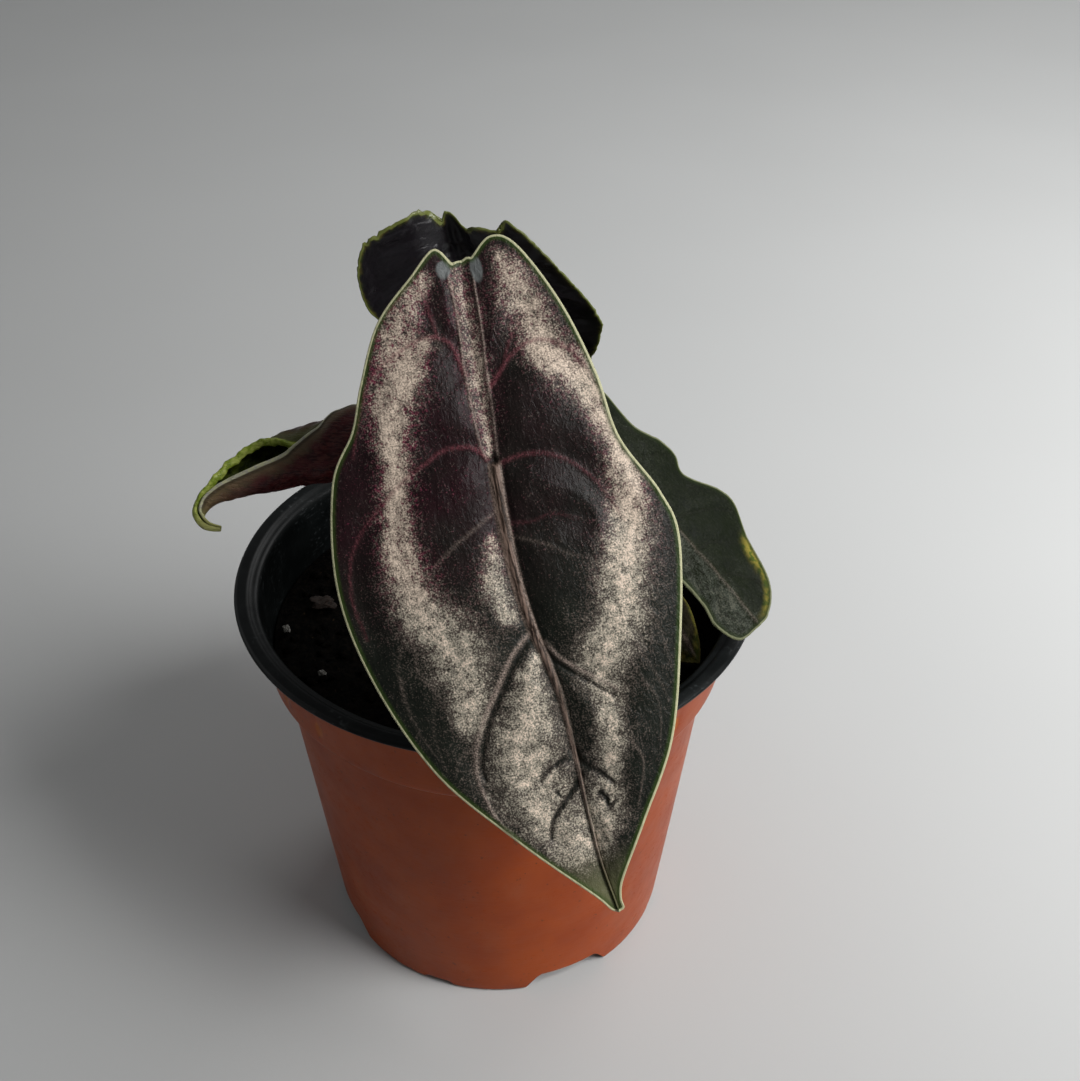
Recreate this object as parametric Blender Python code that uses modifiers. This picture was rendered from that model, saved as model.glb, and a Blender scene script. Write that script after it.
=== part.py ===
"""A potted alocasia: three grown leaves, a new leaf still rolled and an old one, in a 12 cm nursery pot.

Metres, +Z up, -Y is the front. The origin is on the pot's axis, on the flat disc under its base.
Each leaf blade is drawn in its own millimetres, with x across it, y from its tip towards its lobes
and z out of its upper face. The petiole joins every blade at that blade's origin.
"""

import math

import bmesh
import bpy
from mathutils import Matrix, Vector
from mathutils.geometry import delaunay_2d_cdt

MM = 0.001
GAP = 0.3  # mm between pieces that rest on each other

# The pot, in millimetres
RIM_RADIUS = 60.0
POT_HEIGHT = 100.8
WALL = 1.0
FOOT_RADIUS = 42.9
WALL_SLOPE = 0.101
SHOULDER_HEIGHT = 79.0
FLOOR_UNDERSIDE = 6.5
DRAIN_NOTCHES = 4
DRAIN_HOLES = 6
POT_STEPS = 60

# The plant, in millimetres
SOIL_TOP = 86.0
CROWN_TOP = 88.0
ROOTS = 6
BLADE_THICKNESS = 0.8

COLOURS = {
    "pot": ((0.40, 0.115, 0.045), 0.42),
    "potting_soil": ((0.014, 0.011, 0.009), 0.95),
    "rhizome": ((0.20, 0.13, 0.08), 0.80),
    "petiole": ((0.16, 0.17, 0.09), 0.50),
    "dark_leaf": ((0.075, 0.055, 0.055), 0.45),
    "back_leaf": ((0.030, 0.022, 0.028), 0.38),
    "grey_leaf": ((0.13, 0.16, 0.11), 0.50),
    "new_leaf": ((0.17, 0.09, 0.07), 0.45),
    "old_leaf": ((0.20, 0.15, 0.05), 0.70),
    "sheath": ((0.28, 0.20, 0.12), 0.80),
    "perlite": ((0.72, 0.71, 0.67), 0.90),
    "bark": ((0.10, 0.055, 0.030), 0.90),
}


def clear_scene():
    for old in list(bpy.data.objects):
        bpy.data.objects.remove(old)


def new_collection(name):
    collection = bpy.data.collections.new(name)
    bpy.context.scene.collection.children.link(collection)
    return collection


def material(name):
    """The Principled material of this name, made on first use."""
    found = bpy.data.materials.get(name)
    if found:
        return found
    made = bpy.data.materials.new(name)
    made.use_nodes = True
    colour, roughness = COLOURS[name]
    shader = made.node_tree.nodes["Principled BSDF"]
    shader.inputs["Base Color"].default_value = (*colour, 1.0)
    shader.inputs["Roughness"].default_value = roughness
    shader.inputs["Metallic"].default_value = 0.0
    return made


def add_object(name, data, collection, look=None):
    obj = bpy.data.objects.new(name, data)
    collection.objects.link(obj)
    if look:
        data.materials.append(material(look))
    return obj


def mesh_from(points, faces, name):
    """A mesh from points in millimetres."""
    mesh = bpy.data.meshes.new(name)
    mesh.from_pydata([Vector(p) * MM for p in points], [], faces)
    mesh.shade_smooth()
    return mesh


def turned(name, profile, steps, collection, look=None):
    """A profile of (radius, height) points, turned about Z. It runs down the outer side."""
    points = [(r, 0.0, z) for r, z in profile]
    mesh = bpy.data.meshes.new(name)
    mesh.from_pydata([Vector(p) * MM for p in points], [(i, i + 1) for i in range(len(points) - 1)], [])
    obj = add_object(name, mesh, collection, look)
    screw = obj.modifiers.new("turn", "SCREW")
    screw.axis = "Z"
    screw.steps = steps
    screw.render_steps = steps
    screw.use_merge_vertices = True
    screw.merge_threshold = 0.00001
    screw.use_smooth_shade = True
    return obj


def as_mesh(obj, collection):
    """Replaces an object by the mesh that its modifiers or its curve give, with the seams welded."""
    graph = bpy.context.evaluated_depsgraph_get()
    mesh = bpy.data.meshes.new_from_object(obj.evaluated_get(graph))
    cleaned = bmesh.new()
    cleaned.from_mesh(mesh)
    bmesh.ops.remove_doubles(cleaned, verts=cleaned.verts, dist=0.000001)
    bmesh.ops.recalc_face_normals(cleaned, faces=cleaned.faces)
    cleaned.to_mesh(mesh)
    cleaned.free()
    name, place = obj.name, obj.matrix_world.copy()
    bpy.data.objects.remove(obj)
    made = bpy.data.objects.new(name, mesh)
    made.matrix_world = place
    collection.objects.link(made)
    return made


def combine(target, other, operation):
    """A Boolean of target with a helper object, which isn't part of the model."""
    other.hide_render = True
    other.display_type = "WIRE"
    change = target.modifiers.new(other.name, "BOOLEAN")
    change.operation = operation
    change.solver = "EXACT"
    change.object = other


def smooth_path(controls, per_span):
    """Points on a Catmull-Rom curve through the controls, which may have any number of values each."""
    padded = [controls[0], *controls, controls[-1]]
    path = []
    for a, b, c, d in zip(padded, padded[1:], padded[2:], padded[3:]):
        for step in range(per_span):
            t = step / per_span
            path.append(
                tuple(
                    0.5 * (2 * q + (r - p) * t + (2 * p - 5 * q + 4 * r - s) * t**2 + (3 * q - p - 3 * r + s) * t**3)
                    for p, q, r, s in zip(a, b, c, d)
                )
            )
    return [*path, tuple(controls[-1])]


def tube(name, path, collection, look=None, grow=0.0):
    """A round stalk through (x, y, z, radius) points, in millimetres."""
    curve = bpy.data.curves.new(name, "CURVE")
    curve.dimensions = "3D"
    curve.bevel_depth = MM
    curve.bevel_resolution = 2
    curve.use_fill_caps = True
    spline = curve.splines.new("POLY")
    spline.points.add(len(path) - 1)
    for point, (x, y, z, radius) in zip(spline.points, path):
        point.co = (x * MM, y * MM, z * MM, 1.0)
        point.radius = radius + grow
    return add_object(name, curve, collection, look)


# ---------------------------------------------------------------- pot


def wall_radius(height):
    return FOOT_RADIUS + WALL_SLOPE * height


def pot_profile():
    """Up the inside, over the rolled rim, down the outside and in under the base."""
    shoulder = wall_radius(SHOULDER_HEIGHT)
    floor = FLOOR_UNDERSIDE + 1.2
    rim = RIM_RADIUS
    inside = [
        (0.0, 1.3),
        (11.2, 1.3),
        (13.8, floor),
        (41.2, floor),
        (wall_radius(9.5) - WALL, 9.5),
        (shoulder - WALL, SHOULDER_HEIGHT + 0.3),
        (shoulder - 0.3, SHOULDER_HEIGHT + 1.9),
        (shoulder + 1.7, SHOULDER_HEIGHT + 3.2),
        (shoulder + 2.1, SHOULDER_HEIGHT + 4.2),
        (54.2, POT_HEIGHT - 2.4),
        (54.9, POT_HEIGHT - 1.1),
        (56.3, POT_HEIGHT - 0.8),
        (57.1, POT_HEIGHT - 0.1),
    ]
    outside = [
        (rim - 0.6, POT_HEIGHT),
        (rim, POT_HEIGHT - 0.4),
        (rim, POT_HEIGHT - 0.9),
        (rim - 0.6, POT_HEIGHT - 1.4),
        (56.6, POT_HEIGHT - 1.7),
        (55.7, POT_HEIGHT - 2.4),
        (shoulder + 3.1, SHOULDER_HEIGHT + 3.4),
        (shoulder + 2.5, SHOULDER_HEIGHT + 2.4),
        (shoulder + 0.5, SHOULDER_HEIGHT + 1.2),
        (shoulder, SHOULDER_HEIGHT),
        (wall_radius(0.7), 0.7),
        (FOOT_RADIUS - 0.6, 0.0),
    ]
    underside = [(39.8, 0.0), (39.2, FLOOR_UNDERSIDE), (15.2, FLOOR_UNDERSIDE), (12.6, 0.0), (0.0, 0.0)]
    return inside + outside + underside


def notch_cutter(name, azimuth, low_width, top_width, height, collection):
    """A wedge through the foot ring, wider at the bottom, at this azimuth from the front, in degrees."""
    mesh = bpy.data.meshes.new(name)
    shape = bmesh.new()
    bmesh.ops.create_cube(shape, size=1.0)
    for vert in shape.verts:
        width = top_width if vert.co.z > 0 else low_width
        vert.co = Vector((vert.co.x * width, vert.co.y * 10.0 - 42.0, (vert.co.z + 0.5) * (height + 2.0) - 2.0)) * MM
    shape.to_mesh(mesh)
    shape.free()
    obj = add_object(name, mesh, collection)
    obj.rotation_euler.z = math.radians(azimuth)
    return obj


def round_cutter(name, location, radius, depth, collection):
    mesh = bpy.data.meshes.new(name)
    shape = bmesh.new()
    bmesh.ops.create_cone(
        shape, cap_ends=True, segments=12, radius1=radius * MM, radius2=radius * MM, depth=depth * MM
    )
    shape.to_mesh(mesh)
    shape.free()
    obj = add_object(name, mesh, collection)
    obj.location = Vector(location) * MM
    return obj


def dimple_cutter(name, azimuth, collection):
    """An oval that dents the collar, so that stacked pots don't jam."""
    mesh = bpy.data.meshes.new(name)
    shape = bmesh.new()
    bmesh.ops.create_uvsphere(shape, u_segments=10, v_segments=6, radius=1.0)
    for vert in shape.verts:
        vert.co = Vector((vert.co.x * 1.7, vert.co.y * 1.0, vert.co.z * 2.4)) * MM
    shape.to_mesh(mesh)
    shape.free()
    obj = add_object(name, mesh, collection)
    angle = math.radians(azimuth)
    obj.location = Vector((math.sin(angle) * 54.9, -math.cos(angle) * 54.9, 87.5)) * MM
    obj.rotation_euler.z = angle
    return obj


def make_pot(parts, cutters):
    pot = turned("pot", pot_profile(), POT_STEPS, parts, "pot")
    for i in range(DRAIN_NOTCHES):
        quarter = 360.0 / DRAIN_NOTCHES * i
        combine(pot, notch_cutter(f"wide_notch_{i}", 25 + quarter, 23.0, 15.5, 5.8, cutters), "DIFFERENCE")
        combine(pot, notch_cutter(f"small_notch_{i}", quarter - 19.5, 9.6, 6.5, 2.0, cutters), "DIFFERENCE")
        for side in (-7, 7):
            dimple = dimple_cutter(f"dimple_{i}_{side}", quarter - 50 + side, cutters)
            combine(pot, dimple, "DIFFERENCE")
    for i in range(DRAIN_HOLES):
        angle = 2 * math.pi * i / DRAIN_HOLES
        place = (27.0 * math.cos(angle), 27.0 * math.sin(angle), FLOOR_UNDERSIDE)
        combine(pot, round_cutter(f"drain_hole_{i}", place, 3.5, 8.0, cutters), "DIFFERENCE")
    return pot


# ---------------------------------------------------------------- soil, rhizome and roots


def rhizome_profile(grow):
    """The corm-like stem under the crown. With grow, the hollow that it fills in the soil."""
    top = CROWN_TOP + 4.0 if grow else CROWN_TOP
    return [
        (0.0, top),
        (7.8 + grow, top),
        (8.8 + grow, CROWN_TOP - 1.2),
        (9.0 + grow, 82.0),
        (8.0 + grow, 70.0),
        (5.0 + grow, 60.0),
        (0.0, 57.0 - grow),
    ]


def root_path(number, grow):
    """(x, y, z, radius) controls of one thick root, down and out from the rhizome."""
    angle = 2 * math.pi * number / ROOTS + 0.3
    drop = 3.0 * (number % 3)
    stations = [(4.0, 74.0 - drop, 1.5), (13.0, 70.0 - drop, 1.3), (24.0, 56.0 - drop, 1.1)]
    stations += [(30.0, 38.0, 1.0), (29.0, 20.0 - 4.0 * grow, 0.8)]
    path = []
    for i, (reach, height, radius) in enumerate(stations):
        turn = angle + 0.12 * i
        path.append((reach * math.cos(turn), reach * math.sin(turn), height, radius))
    return path


def rhizome_shape(name, grow, collection):
    """The turned stem, and each root as its own closed mesh."""
    stem = as_mesh(turned(name, rhizome_profile(grow), 20, collection), collection)
    roots = []
    for number in range(ROOTS):
        root = tube(f"{name}_root_{number}", smooth_path(root_path(number, grow), 3), collection, grow=grow)
        roots.append(as_mesh(root, collection))
    return stem, roots


def make_rhizome(parts, cutters):
    stem, roots = rhizome_shape("rhizome_stem", 0.0, cutters)
    mesh = stem.data.copy()
    mesh.materials.clear()
    rhizome = add_object("rhizome_and_roots", mesh, parts, "rhizome")
    stem.hide_render = True
    stem.display_type = "WIRE"
    for root in roots:
        combine(rhizome, root, "UNION")
    return rhizome


def make_soil(parts, cutters):
    shoulder = wall_radius(SHOULDER_HEIGHT)
    inner = WALL + GAP
    profile = [
        (0.0, SOIL_TOP + 0.3),
        (20.0, SOIL_TOP + 0.2),
        (38.0, SOIL_TOP - 0.5),
        (shoulder + 1.8, SOIL_TOP - 1.0),
        (shoulder + 1.6, SHOULDER_HEIGHT + 4.5),
        (shoulder + 1.2, SHOULDER_HEIGHT + 3.8),
        (shoulder - 0.9, SHOULDER_HEIGHT + 2.4),
        (shoulder - inner - 0.1, SHOULDER_HEIGHT + 0.4),
        (wall_radius(9.8) - inner, 9.8),
        (41.0, 8.1),
        (13.9, 8.1),
        (11.0, 1.7),
        (0.0, 1.7),
    ]
    soil = turned("potting_soil", profile, 48, parts, "potting_soil")
    hollow, root_hollows = rhizome_shape("rhizome_hollow", 2 * GAP, cutters)
    for cutter in [hollow, *root_hollows]:
        combine(soil, cutter, "DIFFERENCE")
    return soil


# ---------------------------------------------------------------- leaf blades

# Each outline is a list of stretches that meet at corners: the leaf's tip and its notch.
FRONT_OUTLINE = [
    [(4.4, -90), (0, -84.8), (-12, -71.3), (-24, -55.6), (-32, -35.5), (-34.6, -17), (-31, 2), (-25, 11)]
    + [(-21.6, 19), (-16, 29.7), (-8, 37), (-2.6, 41.4), (0.3, 38)],
    [(0.3, 38), (4, 38.4)],
    [(4, 38.4), (8.4, 41.6), (13, 38.8), (18.8, 26.2), (22.4, 12), (24, -0.7), (29.5, -12.5), (31.2, -22)]
    + [(27.2, -41), (21.7, -59), (13.4, -73), (6.6, -83.5), (4.4, -90)],
]
BACK_OUTLINE = [
    [(1, -64), (8, -52), (15, -32), (18.5, -12), (19.5, 8), (21, 19), (16.5, 28), (8, 31), (2.5, 28.6), (1, 24.6)],
    [(1, 24.6), (-1.2, 26.4), (-4.2, 23.6)],
    [(-4.2, 23.6), (-7, 24.4), (-11, 23.2), (-14, 24.6), (-19.5, 16), (-24, 5), (-25.4, -4), (-22, -16)]
    + [(-18, -34), (-9, -53), (1, -64)],
]
RIGHT_OUTLINE = [
    [(-1, -43.5), (-6, -42.6), (-7.8, -37), (-6.6, -31), (-7, -22), (-10, -10), (-13, 3), (-12, 16), (-6, 23)]
    + [(-1, 20)],
    [(-1, 20), (5, 22.5), (10.6, 16), (10, 6), (12.6, 0), (14, -5), (12.2, -9), (15.6, -17), (16, -24)]
    + [(12, -33), (8, -40), (3, -43.4), (-1, -43.5)],
]
OLD_OUTLINE = [
    [(0, -25), (-6, -20), (-10, -10), (-10.5, 1), (-6, 9), (-1, 7)],
    [(-1, 7), (5, 9.5), (10, 2), (10.5, -9), (7, -19), (0, -25)],
]


def front_height(x, y):
    """A sunken midrib between two gently arched halves, drooping to the tip."""
    arch = 2.2 * (1 - math.exp(-abs(x) / 5.0)) - 5.0 * (x / 34.0) ** 2
    return arch - 9.0 * (min(y, 0.0) / 92.0) ** 2 - 3.0 * (max(y, 0.0) / 42.0) ** 2


def back_height(x, y):
    """A deep fold between the lobes, which lean back over it."""
    up = max(y, 0.0)
    fold = 5.0 * math.exp(-((x / 4.5) ** 2)) * min(1.0, up / 18.0)
    return fold - 4.0 * (x / 26.0) ** 2 + 0.007 * up**2 + 0.0030 * min(y + 10.0, 0.0) ** 2


def right_height(x, y):
    """A ridge along the midrib, the near half hanging and the far half wavy."""
    wave = 1.1 * math.sin(y / 3.4 + 0.8) * (x / 15.0) ** 2
    side = -0.45 * math.sqrt(x * x + 1.0) if x < 0 else 0.12 * x - 0.006 * x * x - 0.45
    return side + wave


def old_height(x, y):
    """A withered blade, curled down at its edges."""
    return -0.05 * x * x * (1 - 0.01 * y) + 1.0 * math.sin(y / 3.0) * (x / 10.0)


def outline_points(stretches, per_span):
    """A closed loop through all stretches, without the doubled corners."""
    loop = []
    for stretch in stretches:
        loop += smooth_path(stretch, per_span if len(stretch) > 2 else 1)[:-1]
    return loop


def is_inside(x, y, loop):
    inside = False
    for (ax, ay), (bx, by) in zip(loop, loop[1:] + loop[:1]):
        if (ay > y) != (by > y) and x < ax + (y - ay) / (by - ay) * (bx - ax):
            inside = not inside
    return inside


def grid_inside(loop, spacing):
    """Points of a triangular grid that lie inside the loop and not too near it."""
    found = []
    top = max(y for _, y in loop)
    row, y = 0, min(y for _, y in loop)
    while y < top:
        x = min(x for x, _ in loop) + (spacing / 2 if row % 2 else 0)
        while x < max(x for x, _ in loop):
            nearest = min(math.hypot(x - px, y - py) for px, py in loop)
            if nearest > 0.55 * spacing and is_inside(x, y, loop):
                found.append((x, y))
            x += spacing
        row += 1
        y += spacing * math.sqrt(3) / 2
    return found


def leaf_place(location, heading, lean, roll):
    """Where a blade sits: the way that it faces from the front, its lean from flat and its turn in its plane."""
    turn = Matrix.Rotation(math.radians(heading), 4, "Z")
    tilt = Matrix.Rotation(math.radians(lean), 4, "X")
    spin = Matrix.Rotation(math.radians(roll), 4, "Z")
    return Matrix.Translation(Vector(location) * MM) @ turn @ tilt @ spin


def make_blade(name, outline, height, place, look, parts, spacing=6.0, per_span=2):
    """A curved sheet, filled in its plane and then raised, with its thickness under it."""
    loop = outline_points(outline, per_span)
    flat = [Vector(p) for p in loop + grid_inside(loop, spacing)]
    border = [(i, (i + 1) % len(loop)) for i in range(len(loop))]
    points, _, faces, *_ = delaunay_2d_cdt(flat, border, [], 1, 0.0001)
    mesh = mesh_from([(p.x, p.y, height(p.x, p.y)) for p in points], faces, name)
    blade = add_object(name, mesh, parts, look)
    blade.matrix_world = place
    thick = blade.modifiers.new("thickness", "SOLIDIFY")
    thick.thickness = BLADE_THICKNESS * MM
    thick.offset = -1.0
    thick.use_even_offset = False
    return blade


# The new leaf's roll: (x, y, z, radius, angle of its near edge, angle of its far edge) at each station.
# Angles are in degrees about the roll, from the front towards the top; the sheet runs from the far edge
# over the back, under and up the front to the near edge.
ROLL_STATIONS = [
    (-9, -1.0, 137.5, 5.6, 128, 90),
    (-19, -3.5, 138.0, 7.4, 122, 80),
    (-30, -6.0, 138.3, 7.6, 112, 80),
    (-36, -7.4, 138.0, 6.9, 75, 58),
    (-41, -8.6, 137.5, 6.3, 54, 46),
    (-44.5, -9.8, 137.0, 6.0, 43, 84),
    (-49, -11.6, 136.3, 5.6, 40, 124),
    (-53.6, -14.0, 134.9, 4.2, 46, 120),
    (-57.4, -16.4, 133.2, 2.7, 62, 98),
    (-60, -18.3, 131.4, 1.8, 70, 90),
    (-60.8, -20.2, 129.6, 1.3, 70, 88),
    (-59.0, -22.0, 128.4, 1.0, 70, 86),
    (-56.0, -22.6, 128.2, 0.7, 70, 82),
]
ROLL_ACROSS = 18


def roll_ring(centre, along, radius, near, far):
    """One section of the roll: its outer face from the far edge to the near edge, then its inner face back."""
    up = (Vector((0, 0, 1)) - Vector((0, 0, 1)).project(along)).normalized()
    front = along.cross(up).normalized()
    thickness = min(BLADE_THICKNESS, 0.5 * radius)
    outer, inner = [], []
    for i in range(ROLL_ACROSS + 1):
        share = i / ROLL_ACROSS
        angle = math.radians(far + (360 + near - far) * share)
        reach = radius + (share - 0.5) * min(2.2, 0.3 * radius)
        way = front * math.cos(angle) + up * math.sin(angle)
        outer.append(centre + way * reach)
        inner.append(centre + way * (reach - thickness))
    return outer + inner[::-1]


def make_rolled_blade(parts):
    path = smooth_path(ROLL_STATIONS, 2)
    rings = []
    for i, (x, y, z, radius, near, far) in enumerate(path):
        before, after = path[max(i - 1, 0)], path[min(i + 1, len(path) - 1)]
        along = (Vector(before[:3]) - Vector(after[:3])).normalized()
        rings.append(roll_ring(Vector((x, y, z)), along, radius, near, far))
    count = len(rings[0])
    faces = []
    for i in range(len(rings) - 1):
        for j in range(count):
            k = (j + 1) % count
            faces.append((i * count + j, i * count + k, (i + 1) * count + k, (i + 1) * count + j))
    last = (len(rings) - 1) * count
    for i in range(ROLL_ACROSS):
        back = count - 1 - i
        faces.append((i + 1, i, back, back - 1))
        faces.append((last + i, last + i + 1, last + back - 1, last + back))
    mesh = mesh_from([p for ring in rings for p in ring], faces, "new_leaf_blade")
    shape = bmesh.new()
    shape.from_mesh(mesh)
    bmesh.ops.recalc_face_normals(shape, faces=shape.faces)
    shape.to_mesh(mesh)
    shape.free()
    return add_object("new_leaf_blade", mesh, parts, "new_leaf")


# ---------------------------------------------------------------- stalks

# (x, y, z, radius) controls from the crown to the underside of each blade. Each stalk starts straight up.
STALK_FOOT = CROWN_TOP + GAP
STRAIGHT_START = 3.0
PETIOLES = {
    "front_leaf_petiole": [
        (0.5, -4.7, STALK_FOOT, 2.7),
        (1.5, -4.6, 108, 2.2),
        (2.6, -9.0, 132, 1.8),
        (2.2, -22.0, 147.5, 1.6),
        (1.5, -34.7, 153.6, 1.5),
    ],
    "back_leaf_petiole": [
        (-0.5, 5.1, STALK_FOOT, 2.7),
        (0.2, 6.4, 108, 2.2),
        (0.2, 7.2, 130, 1.8),
        (-0.8, 8.2, 147, 1.5),
        (-1.3, 10.4, 154.6, 1.3),
    ],
    "right_leaf_petiole": [
        (4.9, 2.1, STALK_FOOT, 2.5),
        (9.0, 1.4, 103, 2.1),
        (17.5, -1.5, 117, 1.7),
        (26.2, -5.8, 127.6, 1.4),
    ],
    "new_leaf_petiole": [
        (-4.9, 0.2, STALK_FOOT, 2.5),
        (-8.0, 0.6, 106, 2.1),
        (-13.5, -1.2, 121, 1.8),
        (-18.5, -4.2, 128.6, 1.6),
    ],
    "old_leaf_petiole": [
        (6.6, -4.0, STALK_FOOT, 1.8),
        (12.0, -5.6, 97, 1.5),
        (22.0, -7.6, 104.5, 1.3),
        (31.6, -8.6, 106.2, 1.1),
    ],
}


def make_petioles(parts):
    for name, (foot, *rest) in PETIOLES.items():
        x, y, z, radius = foot
        tube(name, [foot, *smooth_path([(x, y, z + STRAIGHT_START, radius), *rest], 4)], parts, "petiole")


def make_sheath(name, start, end, height, parts):
    """A papery scale round part of the crown, from azimuth start to end in degrees, rising to a point."""
    columns, rows = 8, 3
    points, faces = [], []
    for i in range(columns + 1):
        share = i / columns
        azimuth = math.radians(start + (end - start) * share)
        top = 3.0 + (height - 3.0) * math.sin(math.pi * share) ** 0.8
        for j in range(rows + 1):
            rise = top * j / rows
            radius = 9.7 + 0.10 * rise
            z = SOIL_TOP + 0.3 + GAP + rise
            points.append((math.sin(azimuth) * radius, -math.cos(azimuth) * radius, z))
    for i in range(columns):
        for j in range(rows):
            low = i * (rows + 1) + j
            faces.append((low, low + rows + 1, low + rows + 2, low + 1))
    sheath = add_object(name, mesh_from(points, faces, name), parts, "sheath")
    thick = sheath.modifiers.new("thickness", "SOLIDIFY")
    thick.thickness = 0.5 * MM
    thick.offset = 1.0
    return sheath


# ---------------------------------------------------------------- grains on the soil

# (azimuth from the front in degrees, distance from the axis, half sizes)
PERLITE = [(-84, 49.6, (1.3, 1.1, 1.0)), (-62, 44.0, (1.0, 1.2, 0.8)), (150, 33.0, (1.4, 1.2, 1.0))]
PERLITE += [(205, 44.0, (1.2, 1.0, 0.9)), (28, 30.0, (1.1, 1.3, 0.9))]
BARK = [(-96, 42.0, (4.0, 2.2, 1.1)), (-120, 27.0, (3.4, 2.4, 1.0)), (172, 41.0, (4.4, 2.6, 1.2))]
BARK += [(120, 30.0, (3.6, 2.0, 1.1)), (-25, 36.0, (3.8, 2.4, 1.0))]


def soil_height(radius):
    """The soil's top at this distance from the axis, in millimetres."""
    return SOIL_TOP + 0.2 if radius < 20 else SOIL_TOP + 0.2 - (radius - 20.0) * 0.039


def make_grain(name, azimuth, distance, half_sizes, look, parts):
    """A lump with its own few facets, resting on the soil."""
    mesh = bpy.data.meshes.new(name)
    shape = bmesh.new()
    bmesh.ops.create_icosphere(shape, subdivisions=1, radius=1.0)
    for number, vert in enumerate(shape.verts):
        bump = 1.0 + 0.10 * math.sin(number * 2.4 + azimuth)
        vert.co = Vector(c * size * bump for c, size in zip(vert.co, half_sizes)) * MM
    shape.to_mesh(mesh)
    shape.free()
    grain = add_object(name, mesh, parts, look)
    angle = math.radians(azimuth)
    height = soil_height(distance) + GAP + 1.12 * half_sizes[2]
    grain.location = Vector((math.sin(angle) * distance, -math.cos(angle) * distance, height)) * MM
    grain.rotation_euler.z = angle * 1.7
    return grain


def make_grains(parts):
    for look, grains, name in (("perlite", PERLITE, "perlite_grain"), ("bark", BARK, "bark_chip")):
        for number, (azimuth, distance, half_sizes) in enumerate(grains, 1):
            make_grain(f"{name}_{number}", azimuth, distance, half_sizes, look, parts)


def main():
    clear_scene()
    parts = new_collection("potted_alocasia")
    cutters = new_collection("cutters")
    make_pot(parts, cutters)
    make_soil(parts, cutters)
    make_rhizome(parts, cutters)
    make_petioles(parts)
    front = leaf_place((1.4, -36.5, 154.8), 0, 54, 13)
    back = leaf_place((-1.4, 12.6, 155.7), 180, 74, -20)
    right = leaf_place((28.8, -9.4, 134.3), 47, 40, 11)
    old = leaf_place((34.0, -9.0, 108.2), 49, 48, 0)
    make_blade("front_leaf_blade", FRONT_OUTLINE, front_height, front, "dark_leaf", parts)
    make_blade("back_leaf_blade", BACK_OUTLINE, back_height, back, "back_leaf", parts)
    make_blade("right_leaf_blade", RIGHT_OUTLINE, right_height, right, "grey_leaf", parts, spacing=5.0)
    make_blade("old_leaf_blade", OLD_OUTLINE, old_height, old, "old_leaf", parts, spacing=5.0)
    make_rolled_blade(parts)
    make_sheath("left_sheath", -130, -60, 11.0, parts)
    make_sheath("back_sheath", 140, 215, 13.0, parts)
    make_grains(parts)


main()
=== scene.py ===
"""The looks of a potted alocasia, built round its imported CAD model.

Lengths in the tables are millimetres. Each leaf blade is drawn in its own space, as in the CAD: x across it,
y from its tip towards its lobes and z out of its upper face, with the petiole's joint at the origin.
"""

import math

import bmesh
import bpy
import numpy as np
from mathutils import Matrix, Vector, noise


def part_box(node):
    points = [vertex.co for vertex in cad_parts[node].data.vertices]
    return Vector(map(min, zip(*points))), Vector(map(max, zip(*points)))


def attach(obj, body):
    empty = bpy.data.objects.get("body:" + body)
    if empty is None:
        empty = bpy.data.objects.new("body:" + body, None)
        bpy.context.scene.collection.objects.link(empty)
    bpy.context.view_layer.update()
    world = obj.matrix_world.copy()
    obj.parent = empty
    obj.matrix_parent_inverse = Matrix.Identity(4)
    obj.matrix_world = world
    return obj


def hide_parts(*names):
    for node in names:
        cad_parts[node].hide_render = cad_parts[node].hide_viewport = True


MM = 0.001

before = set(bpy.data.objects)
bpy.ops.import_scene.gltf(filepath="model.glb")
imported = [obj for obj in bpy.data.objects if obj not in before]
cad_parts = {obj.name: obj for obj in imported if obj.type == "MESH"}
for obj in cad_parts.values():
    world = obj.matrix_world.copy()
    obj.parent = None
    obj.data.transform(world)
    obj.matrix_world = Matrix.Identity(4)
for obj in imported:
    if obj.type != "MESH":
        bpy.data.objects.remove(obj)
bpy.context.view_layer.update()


# ---------------------------------------------------------------- materials


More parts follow.
